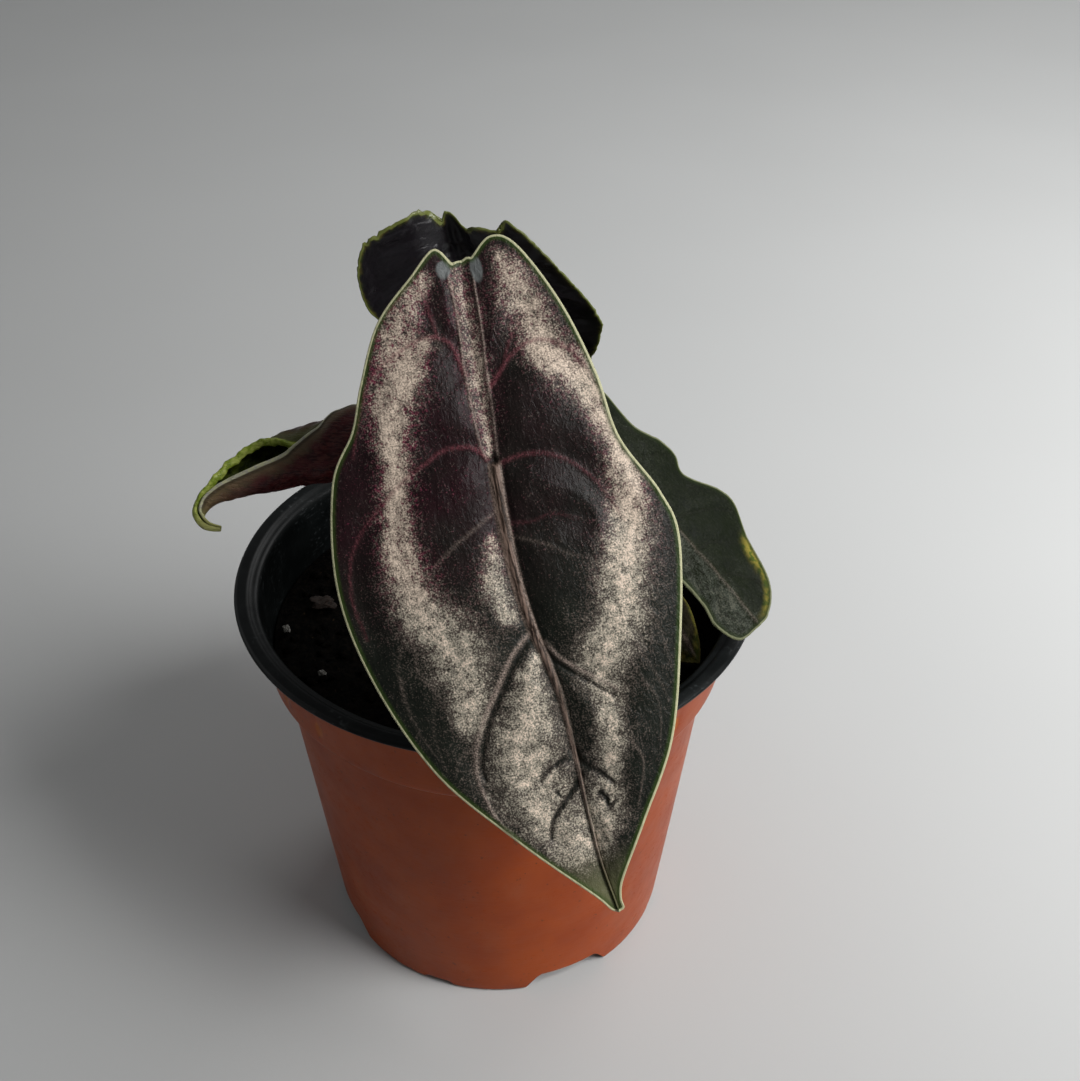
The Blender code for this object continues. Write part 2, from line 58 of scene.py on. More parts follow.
class Look:
    """A procedural material, built by short calls. Its patterns are laid out in millimetres of the piece's space."""

    def __init__(self, name, space=None):
        self.material = bpy.data.materials.new(name)
        self.material.use_nodes = True
        self.tree = self.material.node_tree
        self.shader = self.tree.nodes["Principled BSDF"]
        if space:
            self.place = self.node("ShaderNodeAttribute", attribute_name=space).outputs["Vector"]
        else:
            local = self.node("ShaderNodeTexCoord").outputs["Object"]
            self.place = self.node("ShaderNodeVectorMath", {0: local, "Scale": 1 / MM}, operation="SCALE").outputs[0]

    def put(self, socket, value):
        if isinstance(value, bpy.types.NodeSocket):
            self.tree.links.new(value, socket)
        elif isinstance(value, tuple) and socket.type == "RGBA":
            socket.default_value = (*value, 1.0)
        else:
            socket.default_value = value

    def node(self, kind, inputs=None, **settings):
        made = self.tree.nodes.new(kind)
        for key, value in settings.items():
            setattr(made, key, value)
        for key, value in (inputs or {}).items():
            self.put(made.inputs[key], value)
        return made

    def finish(self, **inputs):
        """The material, once its shader has these inputs. Their names are written with _ for a space."""
        sockets = {socket.name.lower().replace(" ", "_"): socket for socket in self.shader.inputs}
        for key, value in inputs.items():
            self.put(sockets[key], value)
        return self.material

    def value(self, name):
        """A number that the mesh holds at each point, or 0 where it holds none of this name."""
        return self.node("ShaderNodeAttribute", attribute_name=name).outputs["Fac"]

    def maths(self, operation, a, b=0.0):
        return self.node("ShaderNodeMath", {0: a, 1: b}, operation=operation).outputs[0]

    def plus(self, a, b):
        return self.maths("ADD", a, b)

    def times(self, product, *factors):
        for factor in factors:
            product = self.maths("MULTIPLY", product, factor)
        return product

    def stretched(self, factors):
        return self.node("ShaderNodeVectorMath", {0: self.place, 1: factors}, operation="MULTIPLY").outputs[0]

    def noise(self, size, detail=2.0, stretch=(1.0, 1.0, 1.0), distortion=0.0):
        """Smooth noise about 0.5, with features of about this size."""
        inputs = {"Vector": self.stretched(stretch), "Scale": 1.0 / size, "Detail": detail, "Distortion": distortion}
        return self.node("ShaderNodeTexNoise", inputs).outputs["Fac"]

    def cells(self, size, feature="DISTANCE_TO_EDGE"):
        inputs = {"Vector": self.place, "Scale": 1.0 / size}
        return self.node("ShaderNodeTexVoronoi", inputs, feature=feature).outputs["Distance"]

    def fade(self, value, low, high):
        """0 up to low, 1 from high, smooth between."""
        inputs = {"Value": value, "From Min": low, "From Max": high}
        return self.node("ShaderNodeMapRange", inputs, interpolation_type="SMOOTHSTEP").outputs["Result"]

    def scaled(self, value, low, high):
        """A value from 0 to 1, made to run from low to high."""
        return self.node("ShaderNodeMapRange", {"Value": value, "To Min": low, "To Max": high}).outputs["Result"]

    def mix(self, share, a, b):
        """a where the share is 0, b where it is 1. A colour mix has its colours at inputs 6 and 7."""
        return self.node("ShaderNodeMix", {0: share, 6: a, 7: b}, data_type="RGBA").outputs[2]

    def two_tone(self, pattern, low, high, first, second):
        """The first colour where the pattern is low, the second where it is high."""
        return self.mix(self.fade(pattern, low, high), first, second)

    def layers(self, colour, *layers):
        """A colour with others laid over it in turn, each as its mask says."""
        for mask, over in layers:
            colour = self.mix(mask, colour, over)
        return colour

    def bump(self, height, depth, normal=None):
        """A normal from a height of 0 to 1 that stands for this depth."""
        inputs = {"Height": height, "Distance": depth * MM}
        if normal:
            inputs["Normal"] = normal
        return self.node("ShaderNodeBump", inputs).outputs["Normal"]


# ---------------------------------------------------------------- geometry in millimetres


def curve(controls, per_span=12):
    """Points on a Catmull-Rom curve through the controls, which may have any number of values each."""
    controls = np.array(controls, float)
    padded = np.vstack([controls[:1], controls, controls[-1:]])
    t = np.linspace(0, 1, per_span, endpoint=False)[:, None]
    path = []
    for p, q, r, s in zip(padded, padded[1:], padded[2:], padded[3:]):
        path.append(0.5 * (2 * q + (r - p) * t + (2 * p - 5 * q + 4 * r - s) * t**2 + (3 * q - p - 3 * r + s) * t**3))
    return np.vstack([*path, controls[-1:]])


def spaced(path, count):
    """count + 1 points, evenly spaced along a path."""
    reach = np.concatenate([[0.0], np.cumsum(np.linalg.norm(np.diff(path, axis=0), axis=1))])
    return np.stack([np.interp(np.linspace(0, reach[-1], count + 1), reach, column) for column in path.T], 1)


def nearest(x, y, path):
    """Each point's distance from a path, and how far along the path's points that is, from 0 to 1."""
    best, along = np.full(x.shape, np.inf), np.zeros(x.shape)
    for i in range(len(path) - 1):
        (ax, ay), (dx, dy) = path[i, :2], path[i + 1, :2] - path[i, :2]
        t = np.clip(((x - ax) * dx + (y - ay) * dy) / max(dx * dx + dy * dy, 1e-9), 0, 1)
        distance = np.hypot(x - ax - t * dx, y - ay - t * dy)
        closer = distance < best
        best = np.where(closer, distance, best)
        along = np.where(closer, (i + t) / (len(path) - 1), along)
    return best, along


def smooth(value, low, high):
    t = np.clip((value - low) / (high - low), 0, 1)
    return t * t * (3 - 2 * t)


def bell(x, width, y=0.0, depth=1.0):
    """1 at the middle and near 0 from about twice the width, or the depth in y."""
    return np.exp(-((x / width) ** 2) - (y / depth) ** 2)


def wobble(x, y, size, seed):
    """Smooth noise from -1 to 1 over a plane, with features of this size."""
    flat = [noise.noise((a / size, b / size, seed)) for a, b in zip(np.ravel(x), np.ravel(y))]
    return np.array(flat).reshape(np.shape(x))


def grid_quads(rows, columns, start=0):
    """Corner numbers of the quads of a grid of points, row by row."""
    low = start + (np.arange(rows - 1)[:, None] * columns + np.arange(columns - 1)).ravel()
    return np.stack([low, low + 1, low + columns + 1, low + columns], 1)


def tube_quads(rows, columns):
    """The same, where each row closes into a ring."""
    index = np.arange(rows * columns).reshape(rows, columns)
    following = np.roll(index, -1, 1)
    return np.stack([index[:-1], following[:-1], following[1:], index[1:]], -1).reshape(-1, 4)


def ring(angle, radius, height):
    """Points about the z axis, at angles from the front."""
    return np.stack(np.broadcast_arrays(np.sin(angle) * radius, -np.cos(angle) * radius, height), -1)


def linked(name, data):
    made = bpy.data.objects.new(name, data)
    bpy.context.scene.collection.objects.link(made)
    return made


def face_outwards(mesh):
    shape = bmesh.new()
    shape.from_mesh(mesh)
    bmesh.ops.recalc_face_normals(shape, faces=shape.faces)
    shape.to_mesh(mesh)
    shape.free()


def add_mesh(name, points, quads, look, place=None, values=None):
    """A closed piece from points in millimetres, moved by place. Points that coincide become one."""
    points = np.asarray(points, float)
    snapped = np.round(points * 1000).astype(np.int64)
    _, first, merged = np.unique(snapped, axis=0, return_index=True, return_inverse=True)
    corners = merged.ravel()[quads]
    pinched = (corners == np.roll(corners, 1, axis=1)).any(1)
    faces = corners[~pinched].tolist()
    for face in corners[pinched].tolist():
        kept = [corner for corner, before in zip(face, face[-1:] + face[:-1]) if corner != before]
        if len(set(kept)) > 2:
            faces.append(kept)
    mesh = bpy.data.meshes.new(name)
    mesh.from_pydata((points[first] * MM).tolist(), [], faces)
    if place:
        own = mesh.attributes.new("leaf", "FLOAT_VECTOR", "POINT")
        own.data.foreach_set("vector", points[first].astype(np.float32).ravel())
        mesh.transform(place)
    for key, numbers in (values or {}).items():
        stored = mesh.attributes.new(key, "FLOAT", "POINT")
        stored.data.foreach_set("value", np.asarray(numbers, np.float32).ravel()[first])
    face_outwards(mesh)
    mesh.shade_smooth()
    mesh.materials.append(look)
    return linked(name, mesh)


def stands_for(piece, node):
    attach(piece, "root")
    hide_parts(node)


# ---------------------------------------------------------------- leaf blades

EDGE_ROWS = np.array([1.6, 1.1, 0.75, 0.5, 0.34, 0.22, 0.12, 0.04, 0.0])  # how far the last rows lie from the edge
BEAD = 0.28  # half the thickness of the edge's bead
BLADE_HALF = 0.22  # half the thickness of the blade inside it
BLADE_DEPTH = 0.32  # how deep its middle lies under the drawn upper face


def leaf_place(location, heading, lean, roll):
    """Where a blade sits: the way that it faces from the front, its lean from flat and its turn in its plane."""
    turn = Matrix.Rotation(math.radians(heading), 4, "Z")
    tilt = Matrix.Rotation(math.radians(lean), 4, "X")
    spin = Matrix.Rotation(math.radians(roll), 4, "Z")
    return Matrix.Translation(Vector(location) * MM) @ turn @ tilt @ spin


def half_grid(rib, edge, along, across):
    """x and y of the points of one half of a blade, from its rib to its edge, closer together at the edge."""
    rib, edge = spaced(rib, along), spaced(edge, along)
    width = np.maximum(np.linalg.norm(edge - rib, axis=1), 0.001)[:, None]
    margin = 1 - EDGE_ROWS * np.minimum(1.0, 0.6 * width / EDGE_ROWS[0]) / width
    inner = np.linspace(0, 1, across, endpoint=False) * margin[:, :1]
    share = np.hstack([inner, margin])[..., None]
    grid = rib[:, None] * (1 - share) + edge[:, None] * share
    return grid[..., 0], grid[..., 1]


def rib_offset(x, y, rib):
    """How far each point lies to the right of the midrib, which runs up y."""
    return x - np.interp(y, rib[:, 1], rib[:, 0])


class Veins:
    """Sums up the veins that are drawn on a blade: their relief and a mask for each tone."""

    def __init__(self, x, y):
        self.x, self.y = x, y
        self.relief = np.zeros(x.shape)
        self.under = np.zeros(x.shape)
        self.tones = {tone: np.zeros(x.shape) for tone in ("pink", "pale", "groove_shade_and_spots")}
        self.clear = np.full(x.shape, 99.0)

    def draw(self, controls, width, height, tone, strength=1.0, taper=0.5):
        """A vein through its controls, of this half width at its start."""
        distance, along = nearest(self.x, self.y, curve(controls, 6))
        profile = bell(distance, width * (1 - taper * along))
        self.relief += height * profile
        self.under += 0.35 * abs(height) * bell(distance, 1.6 * width)
        self.tones[tone] = np.maximum(self.tones[tone], strength * (1 - 0.35 * along) * profile)
        if width > 0.3:
            self.clear = np.minimum(self.clear, distance)


def blade(name, rib, edges, shape, look, place, along, across):
    """A leaf blade with two faces and a beaded edge.

    shape gives the upper face's height, the underside's ridges and the numbers that the material reads.
    """
    margin = np.vstack([edges[0], edges[1][::-1]])
    points, quads, values, start = [], [], {}, 0
    for edge in edges:
        x, y = half_grid(rib, edge, along, across)
        distance, _ = nearest(x, y, margin)
        height, ridges, numbers = shape(x, y, distance)
        round_edge = BEAD * np.sqrt(1 - (1 - np.minimum(distance, BEAD) / BEAD) ** 2)
        inside = BLADE_HALF + (BEAD - BLADE_HALF) * np.exp(-np.maximum(distance - BEAD, 0) / 0.3)
        half = np.where(distance < BEAD, round_edge, inside)
        middle = height - BLADE_DEPTH
        numbers = {**numbers, "edge": distance}
        for face, z in ((0, middle + half), (1, middle - half - ridges * smooth(distance, 0, 1.5))):
            points.append(np.stack([x, y, z], -1).reshape(-1, 3))
            quads.append(grid_quads(*x.shape, start))
            start += x.size
            for key, number in {**numbers, "underside": np.full(x.shape, float(face))}.items():
                values.setdefault(key, []).append(number.ravel())
    values = {key: np.concatenate(number) for key, number in values.items()}
    return add_mesh(name, np.vstack(points), np.vstack(quads), look, place, values)


def outline(stretches, tip_first=True):
    """One edge of a blade, from its tip to its notch, through stretches that meet at corners."""
    path = np.vstack([curve(stretch, 16 if len(stretch) > 2 else 4) for stretch in stretches])
    return path if tip_first else path[::-1]


FRONT_RIB = curve(
    [(4.6, -90.3), (4.2, -87), (3.2, -79), (2.9, -68), (2.9, -58), (2.6, -47), (1.4, -39), (0.1, -32), (-0.6, -25)]
    + [(-0.9, -18), (-0.8, -12), (-0.4, -5), (0, 0), (0.1, 5), (0.2, 12), (0.6, 20), (1.2, 30), (2.2, 38.3)]
)
FRONT_LEFT = outline(
    [
        [(4.6, -90.3), (3.2, -89.6), (0, -85.2), (-12, -71.3), (-24, -55.6), (-32, -35.5), (-34.6, -17), (-31, 2),
         (-25, 11), (-21.6, 19), (-16, 29.7), (-8, 37), (-2.6, 41.4), (0.3, 38)],
        [(0.3, 38), (1.1, 38.3), (2.2, 38.3)],
    ]
)
FRONT_RIGHT = outline(
    [
        [(2.2, 38.3), (3.2, 38.7), (4, 38.4)],
        [(4, 38.4), (8.4, 41.6), (13, 38.8), (18.8, 26.2), (22.4, 12), (24, -0.7), (29.5, -12.5), (31.2, -22)]
        + [(27.2, -41), (21.7, -59), (13.4, -73), (7.0, -83.5), (5.7, -87.4), (5.8, -89.7), (4.6, -90.3)],
    ],
    tip_first=False,
)

# Veins of the front blade: controls, half width, height, tone and strength. The sunk grooves and cracks carry painted
# shade.
FRONT_VEINS = [
    ([(2.3, 13.5), (3.7, 14.8), (6.9, 18.1), (10.5, 20), (14.1, 20.1), (18.1, 17.5), (20.1, 14.4),
      (22.2, 9.4)], 0.45, 0.18, "pink", 1.0),
    ([(-1.9, 17), (-3, 22.6), (-5.2, 24.5), (-8.2, 25.1), (-13.1, 23.5), (-17.8, 21), (-20.7, 18), (-23.3, 12.7),
      (-25.8, 6)], 0.42, 0.16, "pink", 0.9),
    ([(-5.2, 24.5), (-5.8, 29.2), (-6.2, 32.5), (-6.9, 35.8)], 0.4, 0.1, "pink", 0.6),
    ([(5.1, 16.2), (7.5, 20.7), (9.4, 23.4), (11.5, 26.6)], 0.35, 0.08, "pink", 0.5),
    ([(-1.2, 0.4), (-2.8, 2.7), (-5.3, 3.6), (-8.9, 3.7), (-12.4, 2.1), (-16.4, 0.4), (-20.7, -2.5),
      (-25.8, -6.4), (-28.9, -9.8), (-30.9, -13.5), (-32, -20), (-31, -28)], 0.42, 0.16, "pink", 0.9),
    ([(1.2, -0.8), (5.1, -0.2), (9.5, -0.8), (13.1, -2.7), (16, -5.4), (18.6, -9.2),
      (21.5, -16)], 0.4, 0.14, "pink", 0.75),
    ([(-1.6, -9.4), (-7, -12.3), (-10.6, -14.2), (-16, -18), (-18.7, -22), (-22.8, -27.5), (-25.2, -31.8),
      (-26.4, -35.5), (-26.7, -41)], 0.26, 0.12, "pale", 0.4),
    ([(0.6, -12.2), (4.6, -12.7), (8.7, -12.2), (13, -14)], 0.35, 0.1, "pink", 0.35),
    ([(0.4, -14.8), (3.2, -16), (6.2, -17.5), (10.1, -20.2), (14, -22), (19, -27)], 0.24, 0.1, "pale", 0.3),
    ([(0.1, -33), (-1.2, -34.4), (-4, -37.3), (-7.6, -42.3), (-10.8, -46.8), (-13.3, -51.5), (-14.8, -56.1),
      (-14.8, -59)], 0.6, -0.5, "groove_shade_and_spots", 0.75),
    ([(-0.9, -33.6), (-4.6, -36.6), (-8.6, -42.0), (-12.0, -46.6), (-14.6, -51.2), (-16.0, -56), (-15.8, -61),
      (-14.2, -66.8), (-11.4, -71.5)], 0.38, 0.3, "pale", 1.3),
    ([(1.2, -35), (3.2, -39.6), (6.9, -43.1), (12.8, -48.3)], 0.5, -0.4, "groove_shade_and_spots", 0.8),
    ([(1.9, -35.6), (4.1, -39.0), (7.7, -42.3), (13.4, -47.0)], 0.40, 0.25, "pale", 1.2),
    ([(3.0, -62), (1.6, -64.0), (-1.5, -66.9), (-4, -69.6), (-5, -73)], 0.6, -0.4, "groove_shade_and_spots", 0.9),
    ([(2.9, -57), (3.8, -59.5), (7.2, -62.5), (8.9, -64.6)], 0.75, -0.45, "groove_shade_and_spots", 1.0),
    ([(0.7, -58.2), (-0.9, -58.8), (-2.5, -59.5), (-4.8, -61.4)], 0.45, -0.4, "groove_shade_and_spots", 0.9),
    ([(6.1, -66.1), (6.9, -67.4), (7.1, -69), (8.6, -68.2)], 0.5, -0.45, "groove_shade_and_spots", 1.0),
    ([(-2, -64), (-1.5, -65.1), (-0.5, -65.6), (1, -64.8)], 0.3, -0.2, "groove_shade_and_spots", 0.7),
    ([(-22.8, -27.5), (-22.4, -31.7), (-22.6, -36.7), (-20.4, -40.2), (-21.9, -45.6), (-22.3, -49.7),
      (-21.7, -55.5)], 0.22, 0.08, "pale", 0.32),
    ([(-14.6, -52), (-18.4, -53.8), (-20.3, -57.3)], 0.22, 0.08, "pale", 0.40),
    ([(-26.3, -36.4), (-25.9, -44.1), (-23.9, -50.1), (-21.5, -55.9)], 0.22, 0.08, "pale", 0.32),
    ([(-16, -35), (-19.2, -38), (-20.7, -41)], 0.22, 0.08, "pale", 0.32),
    ([(20.3, -29.8), (23.4, -36.9), (24.4, -46)], 0.20, 0.07, "pale", 0.30),
    ([(18.5, -39), (21, -45.5), (22.6, -51.7)], 0.20, 0.07, "pale", 0.30),
    ([(16.6, -41.5), (19, -47.2), (20.6, -51.8), (19, -60)], 0.20, 0.07, "pale", 0.30),
    ([(13.8, -57), (15.3, -62), (12.5, -70)], 0.26, 0.06, "pale", 0.4),
]
# Ribs above the joint: a raised pale line each side of a flat silver strip
FRONT_UPPER_RIBS = [
    [(-0.9, 36.2), (-0.8, 30.5), (-1.1, 25), (-1.7, 18.3), (-1.9, 11.1), (-1.9, 4.7), (-1.4, 0.6)],
    [(3.6, 35.5), (3.3, 28.5), (2.9, 22.7), (2.2, 16.5), (1.8, 10.2), (1.2, 4.1), (0.8, 0.4)],
]
# Silvery bands, partly the blade's own silvery marking and partly painted sheen: (x, y, half width) along each, and
# its strength
FRONT_BANDS = [
    ([(-5, 36.5, 1.4), (-9.6, 31.5, 3.2), (-12.8, 27.4, 4.6), (-14.6, 24.6, 4.0)], 0.85),
    (
        [(-8.5, 23.4, 2.4), (-13.2, 19.4, 4.6), (-16.7, 13.2, 4.2), (-18.0, 6, 3.3), (-18.6, 0.5, 2.9)]
        + [(-20.2, -5.5, 3.0), (-20.9, -12, 3.4), (-20.7, -18.4, 4.2), (-19.4, -25.3, 4.8), (-16.2, -30.8, 5.6)]
        + [(-14.2, -36, 5.6), (-14.2, -42, 4.4), (-15, -47, 2.8)],
        1.0,
    ),
    ([(10, 36.8, 2.0), (11.1, 31.5, 4.2), (12.4, 26, 4.6), (14.0, 22.4, 3.4)], 1.0),
    (
        [(12.6, 18.8, 3.2), (17.6, 13.8, 4.2), (20.4, 7.9, 3.4), (22.4, 1.7, 2.6), (23.2, -5, 3.0), (23.4, -12, 3.8)]
        + [(21.4, -19.9, 4.6), (18.8, -27.6, 5.0), (16.6, -34.6, 5.2), (12.9, -39.0, 5.6), (11, -43.9, 4.6)]
        + [(11.2, -49, 3.0), (10.5, -55.7, 2.8), (9.0, -60.5, 2.6), (7.8, -65, 3.2), (6.2, -70, 3.8)]
        + [(4.0, -75, 3.4)],
        1.0,
    ),
    ([(1.3, 36, 2.0), (1.1, 28, 2.3), (0.5, 18, 2.0), (-0.1, 8, 1.7), (-0.3, 2, 1.0)], 1.0),
    ([(-3.6, -14.5, 1.2), (-4.8, -20.6, 2.6), (-4.5, -25.2, 3.0), (-3.6, -30, 1.8)], 0.8),
    (
        [(-0.6, -38.1, 1.4), (-2.4, -43, 3.4), (-3.9, -48.7, 5.8), (-6.2, -53.8, 7.2), (-6.6, -59.5, 7.8)]
        + [(-5.4, -65.5, 7.2), (-3.4, -71, 5.6), (-0.4, -76, 4.2)],
        1.0,
    ),
]


def midrib_width(y):
    """Half the width of the front blade's raised midrib, which ends at the joint and thins towards the tip."""
    return np.interp(y, [-88, -66, -56, -46, -34, -16, -2], [0.18, 0.26, 0.36, 0.56, 0.8, 1.1, 1.1])


def band_field(x, y, bands, seed):
    """From 0 to 1, how silvery the blade is, with frayed edges: its own marking and painted sheen in one."""
    wx = x + 0.9 * wobble(x, y, 5.0, seed) + 0.7 * wobble(x, y, 1.6, seed + 4.0)
    wy = y + 1.6 * wobble(x, y, 6.0, seed + 9.0) + 0.7 * wobble(x, y, 1.6, seed + 6.0)
    field = np.zeros(x.shape)
    for controls, strength in bands:
        path = curve(controls, 4)
        distance, along = nearest(wx, wy, path)
        width = np.interp(along, np.linspace(0, 1, len(path)), path[:, 2])
        field = 1 - (1 - field) * (1 - strength * np.exp(-0.75 * (distance / width) ** 2))
    return field


def front_shape(x, y, edge):
    side = rib_offset(x, y, FRONT_RIB)
    height = 2.2 * (1 - np.exp(-np.sqrt(side**2 + 0.3) / 5.0)) - 5.0 * (x / 34.0) ** 2
    height -= 9.0 * (np.minimum(y, 0) / 92.0) ** 2 + 3.0 * (np.maximum(y, 0) / 42.0) ** 2
    veins = Veins(x, y)
    for controls, width, rise, tone, strength in FRONT_VEINS:
        veins.draw(controls, width, rise, tone, strength)
    for controls in FRONT_UPPER_RIBS:
        veins.draw(controls, 0.24, 0.28, "pale", 0.9, taper=0.0)
    below = 1 - smooth(y, -1.5, 0.3)
    width = midrib_width(y)
    across = np.abs(side) / width
    rib = below * (1 - smooth(across, 0.85, 1.15)) * (1 - 0.35 * smooth(-y, 34, 48))
    ridge = below * (0.75 * np.exp(-(across**2) * 1.6) - 0.3 * bell(across - 1.35, 0.35))
    line = below * bell(across - 0.92, 0.22)
    pit = bell(x, 0.9, y, 0.8)
    clear = np.minimum(veins.clear, np.abs(side))
    puff = 1.0 * (1 - bell(clear, 3.6)) - 0.7
    ripple = 0.30 * wobble(x, y, 9.0, 1.3) + 0.10 * wobble(x, y, 2.6, 5.1)
    crumple = 0.22 * wobble(x * 0.5 + y, y * 0.5 - x, 3.2, 8.4) + 0.12 * wobble(x, y, 1.7, 2.2)
    crumple = smooth(-y, 38, 58) * crumple
    lift = puff + ripple + crumple * smooth(-y, 30, 80) * 1.3
    height = height + (lift * smooth(edge, 0.4, 6.0) + ridge + veins.relief - 0.7 * pit)
    # The silvery mask is partly the blade's marking and partly painted sheen: the leaf's metallic shine is drawn as
    # colour.
    veil = 0.03 + 0.09 * smooth(-y, 20, 55) + 0.08 * wobble(x, y, 5.0, 17.0)
    silver_and_sheen = 1 - (1 - band_field(x, y, FRONT_BANDS, 3.0)) * (1 - np.clip(veil, 0, 1))
    silver_and_sheen *= 1.10 - 0.17 * smooth(y, 14, 26) - 0.14 * smooth(-y, 18, 44)
    silver_and_sheen *= 1 - 0.28 * bell(side, 2.2) * smooth(y, 0, 6)
    silver_and_sheen *= 1 - 0.9 * np.clip(veins.tones["groove_shade_and_spots"] * 1.2, 0, 1)
    purple = (0.06 + 0.94 * smooth(y, -36, -4)) * (0.75 + 0.5 * wobble(x, y, 7.0, 12.0))
    near_ribs = bell(np.abs(side) - 3.2, 2.6) * smooth(y, 0, 8)
    purple = np.clip(np.maximum(purple, near_ribs) * (0.75 + 0.5 * smooth(-x, -8, 12)), 0, 1)
    wax = smooth(bell(x + 1.6, 1.6, y - 37.0, 2.1) + bell(x - 4.5, 1.4, y - 35.9, 3.1), 0.42, 0.62)
    numbers = dict(veins.tones, silver_and_sheen=silver_and_sheen, purple=purple, rib=rib, rib_line=line, wax=wax, pit=pit)
    numbers["worn"] = 0.8 * smooth(-y, 75, 88)
    return height, veins.under + 0.9 * bell(side, 1.1) * smooth(edge, 0.5, 4), numbers


def side_veins(veins, rib, edge, reach, width, height, strength):
    """Sunk veins from the rib to the edge that bend towards the tip, darkened by painted shade in their grooves."""
    on_edge, on_rib = spaced(edge, 200), spaced(rib, 200)
    t = np.linspace(0.02, 0.93, 9)
    for start in SIDE_STARTS:
        at = np.clip((start - reach * t**1.6) * 200, 0, 199).astype(int)
        path = on_rib[at] * (1 - t[:, None]) + on_edge[at] * t[:, None]
        veins.draw(path, width, height, "groove_shade_and_spots", strength)


BACK_RIB = curve([(1, -64), (0.6, -40), (0, -15), (0, 0), (-0.2, 12), (-0.8, 26.2)])
BACK_RIGHT = outline(
    [
        [(1, -64), (8, -52), (15, -32), (18.5, -12), (19.5, 8), (21.2, 17), (19.9, 24), (16.6, 28.6)],
        [(16.6, 28.6), (10, 29.7), (4.2, 29.9)],
        [(4.2, 29.9), (2.5, 28.0), (1, 24.6)],
        [(1, 24.6), (-0.1, 26.2), (-0.8, 26.2)],
    ]
)
BACK_LEFT = outline(
    [
        [(-0.8, 26.2), (-2.2, 25.6), (-4.2, 23.6)],
        [(-4.2, 23.6), (-7, 24.4), (-11, 23.2), (-14, 24.6), (-19.5, 16), (-24.3, 4.5), (-25.3, -2.2)],
        [(-25.3, -2.2), (-22.2, -8.6), (-19.2, -13.0), (-18.0, -19), (-17.6, -26), (-15.6, -38), (-8.5, -53),
         (1, -64)],
    ],
    tip_first=False,
)
BACK_BANDS = [
    ([(13, 20, 2.6), (12.5, 6, 3.2), (11, -14, 3.4), (8, -34, 3.0), (3, -52, 2.0)], 0.9),
    ([(-13, 15, 2.6), (-16, 0, 3.4), (-13, -18, 3.4), (-9, -36, 3.0), (-3, -52, 2.0)], 0.9),
]
RIGHT_RIB = curve([(-1, -43.5), (-0.4, -34), (0, -20), (0, 0), (-0.3, 10), (-1, 20)])
RIGHT_LEFT = outline(
    [
        [(-1, -43.5), (-6, -42.6), (-7.8, -37), (-6.6, -31), (-7, -22), (-10, -10), (-13, 3), (-12, 16), (-6, 23)]
        + [(-1, 20)]
    ]
)
RIGHT_RIGHT = outline(
    [
        [(-1, 20), (5, 22.5), (10.6, 16), (10, 6), (12.6, 0), (14, -5), (12.2, -9), (15.6, -17), (16, -24)]
        + [(12, -33), (8, -40), (3, -43.4), (-1, -43.5)]
    ],
    tip_first=False,
)
OLD_RIB = curve([(0, -25), (0, -12), (0, 0), (-1, 7)])
OLD_LEFT = outline([[(0, -25), (-6, -20), (-10, -10), (-10.5, 1), (-6, 9), (-1, 7)]])
OLD_RIGHT = outline([[(-1, 7), (5, 9.5), (10, 2), (10.5, -9), (7, -19), (0, -25)]], tip_first=False)
SIDE_STARTS = (0.22, 0.34, 0.46, 0.58, 0.70, 0.82)  # where side veins leave the rib, as shares of it from the tip


def ragged(edge, depth, size, seed):
    """The edge with small bites taken out of it."""
    path = spaced(edge, 420)
    along = np.cumsum(np.linalg.norm(np.diff(path, axis=0, prepend=path[:1]), axis=1))
    bite = np.clip(wobble(along, along * 0, size, seed) + 0.4 * wobble(along, along * 0, size * 0.37, seed + 3), 0, 1)
    centre = path.mean(0)
    inward = (centre - path) / np.linalg.norm(centre - path, axis=1, keepdims=True)
    ends = np.minimum(along, along[-1] - along)
    return path + inward * (depth * bite * smooth(ends, 0, 3))[:, None]


def back_shape(x, y, edge):
    up = np.maximum(y, 0)
    fold = 5.0 * bell(x, 4.5) * np.minimum(1.0, up / 18.0)
    height = fold - 4.0 * (x / 26.0) ** 2 + 0.007 * up**2 + 0.0030 * np.minimum(y + 10.0, 0) ** 2
    veins = Veins(x, y)
    for side in (BACK_LEFT, BACK_RIGHT):
        side_veins(veins, BACK_RIB, side, 0.16, 0.5, -0.22, 0.6)
    offset = rib_offset(x, y, BACK_RIB)
    puff = 0.6 * (1 - bell(np.minimum(veins.clear, np.abs(offset)), 3.5))
    # soft creases that run across the lobes, with a frill at the edge
    crease = 0.5 * wobble(x, y * 3.2, 9.0, 21.0) + 0.22 * wobble(x * 0.4, y * 3, 3.5, 22.0)
    frill = 0.5 * wobble(x, y, 2.2, 23.0) * np.exp(-edge / 2.0)
    height = height + (puff + crease) * smooth(edge, 0.3, 4.0) + frill + veins.relief
    rib = 1 - smooth(np.abs(offset), 0.5, 0.9)
    silver_and_sheen = band_field(x, y, BACK_BANDS, 31.0) * (1 - np.clip(veins.tones["groove_shade_and_spots"], 0, 1))
    numbers = dict(veins.tones, silver_and_sheen=silver_and_sheen, rib=rib, purple=0.3 + 0.3 * wobble(x, y, 8.0, 14.0))
    numbers["yellow"] = (1 - smooth(edge + 0.5 * wobble(x, y, 1.2, 15.0), 0.2, 1.0)) * 0.6
    return height, 0.8 * bell(offset, 1.0) * smooth(edge, 0.5, 3) + veins.under, numbers


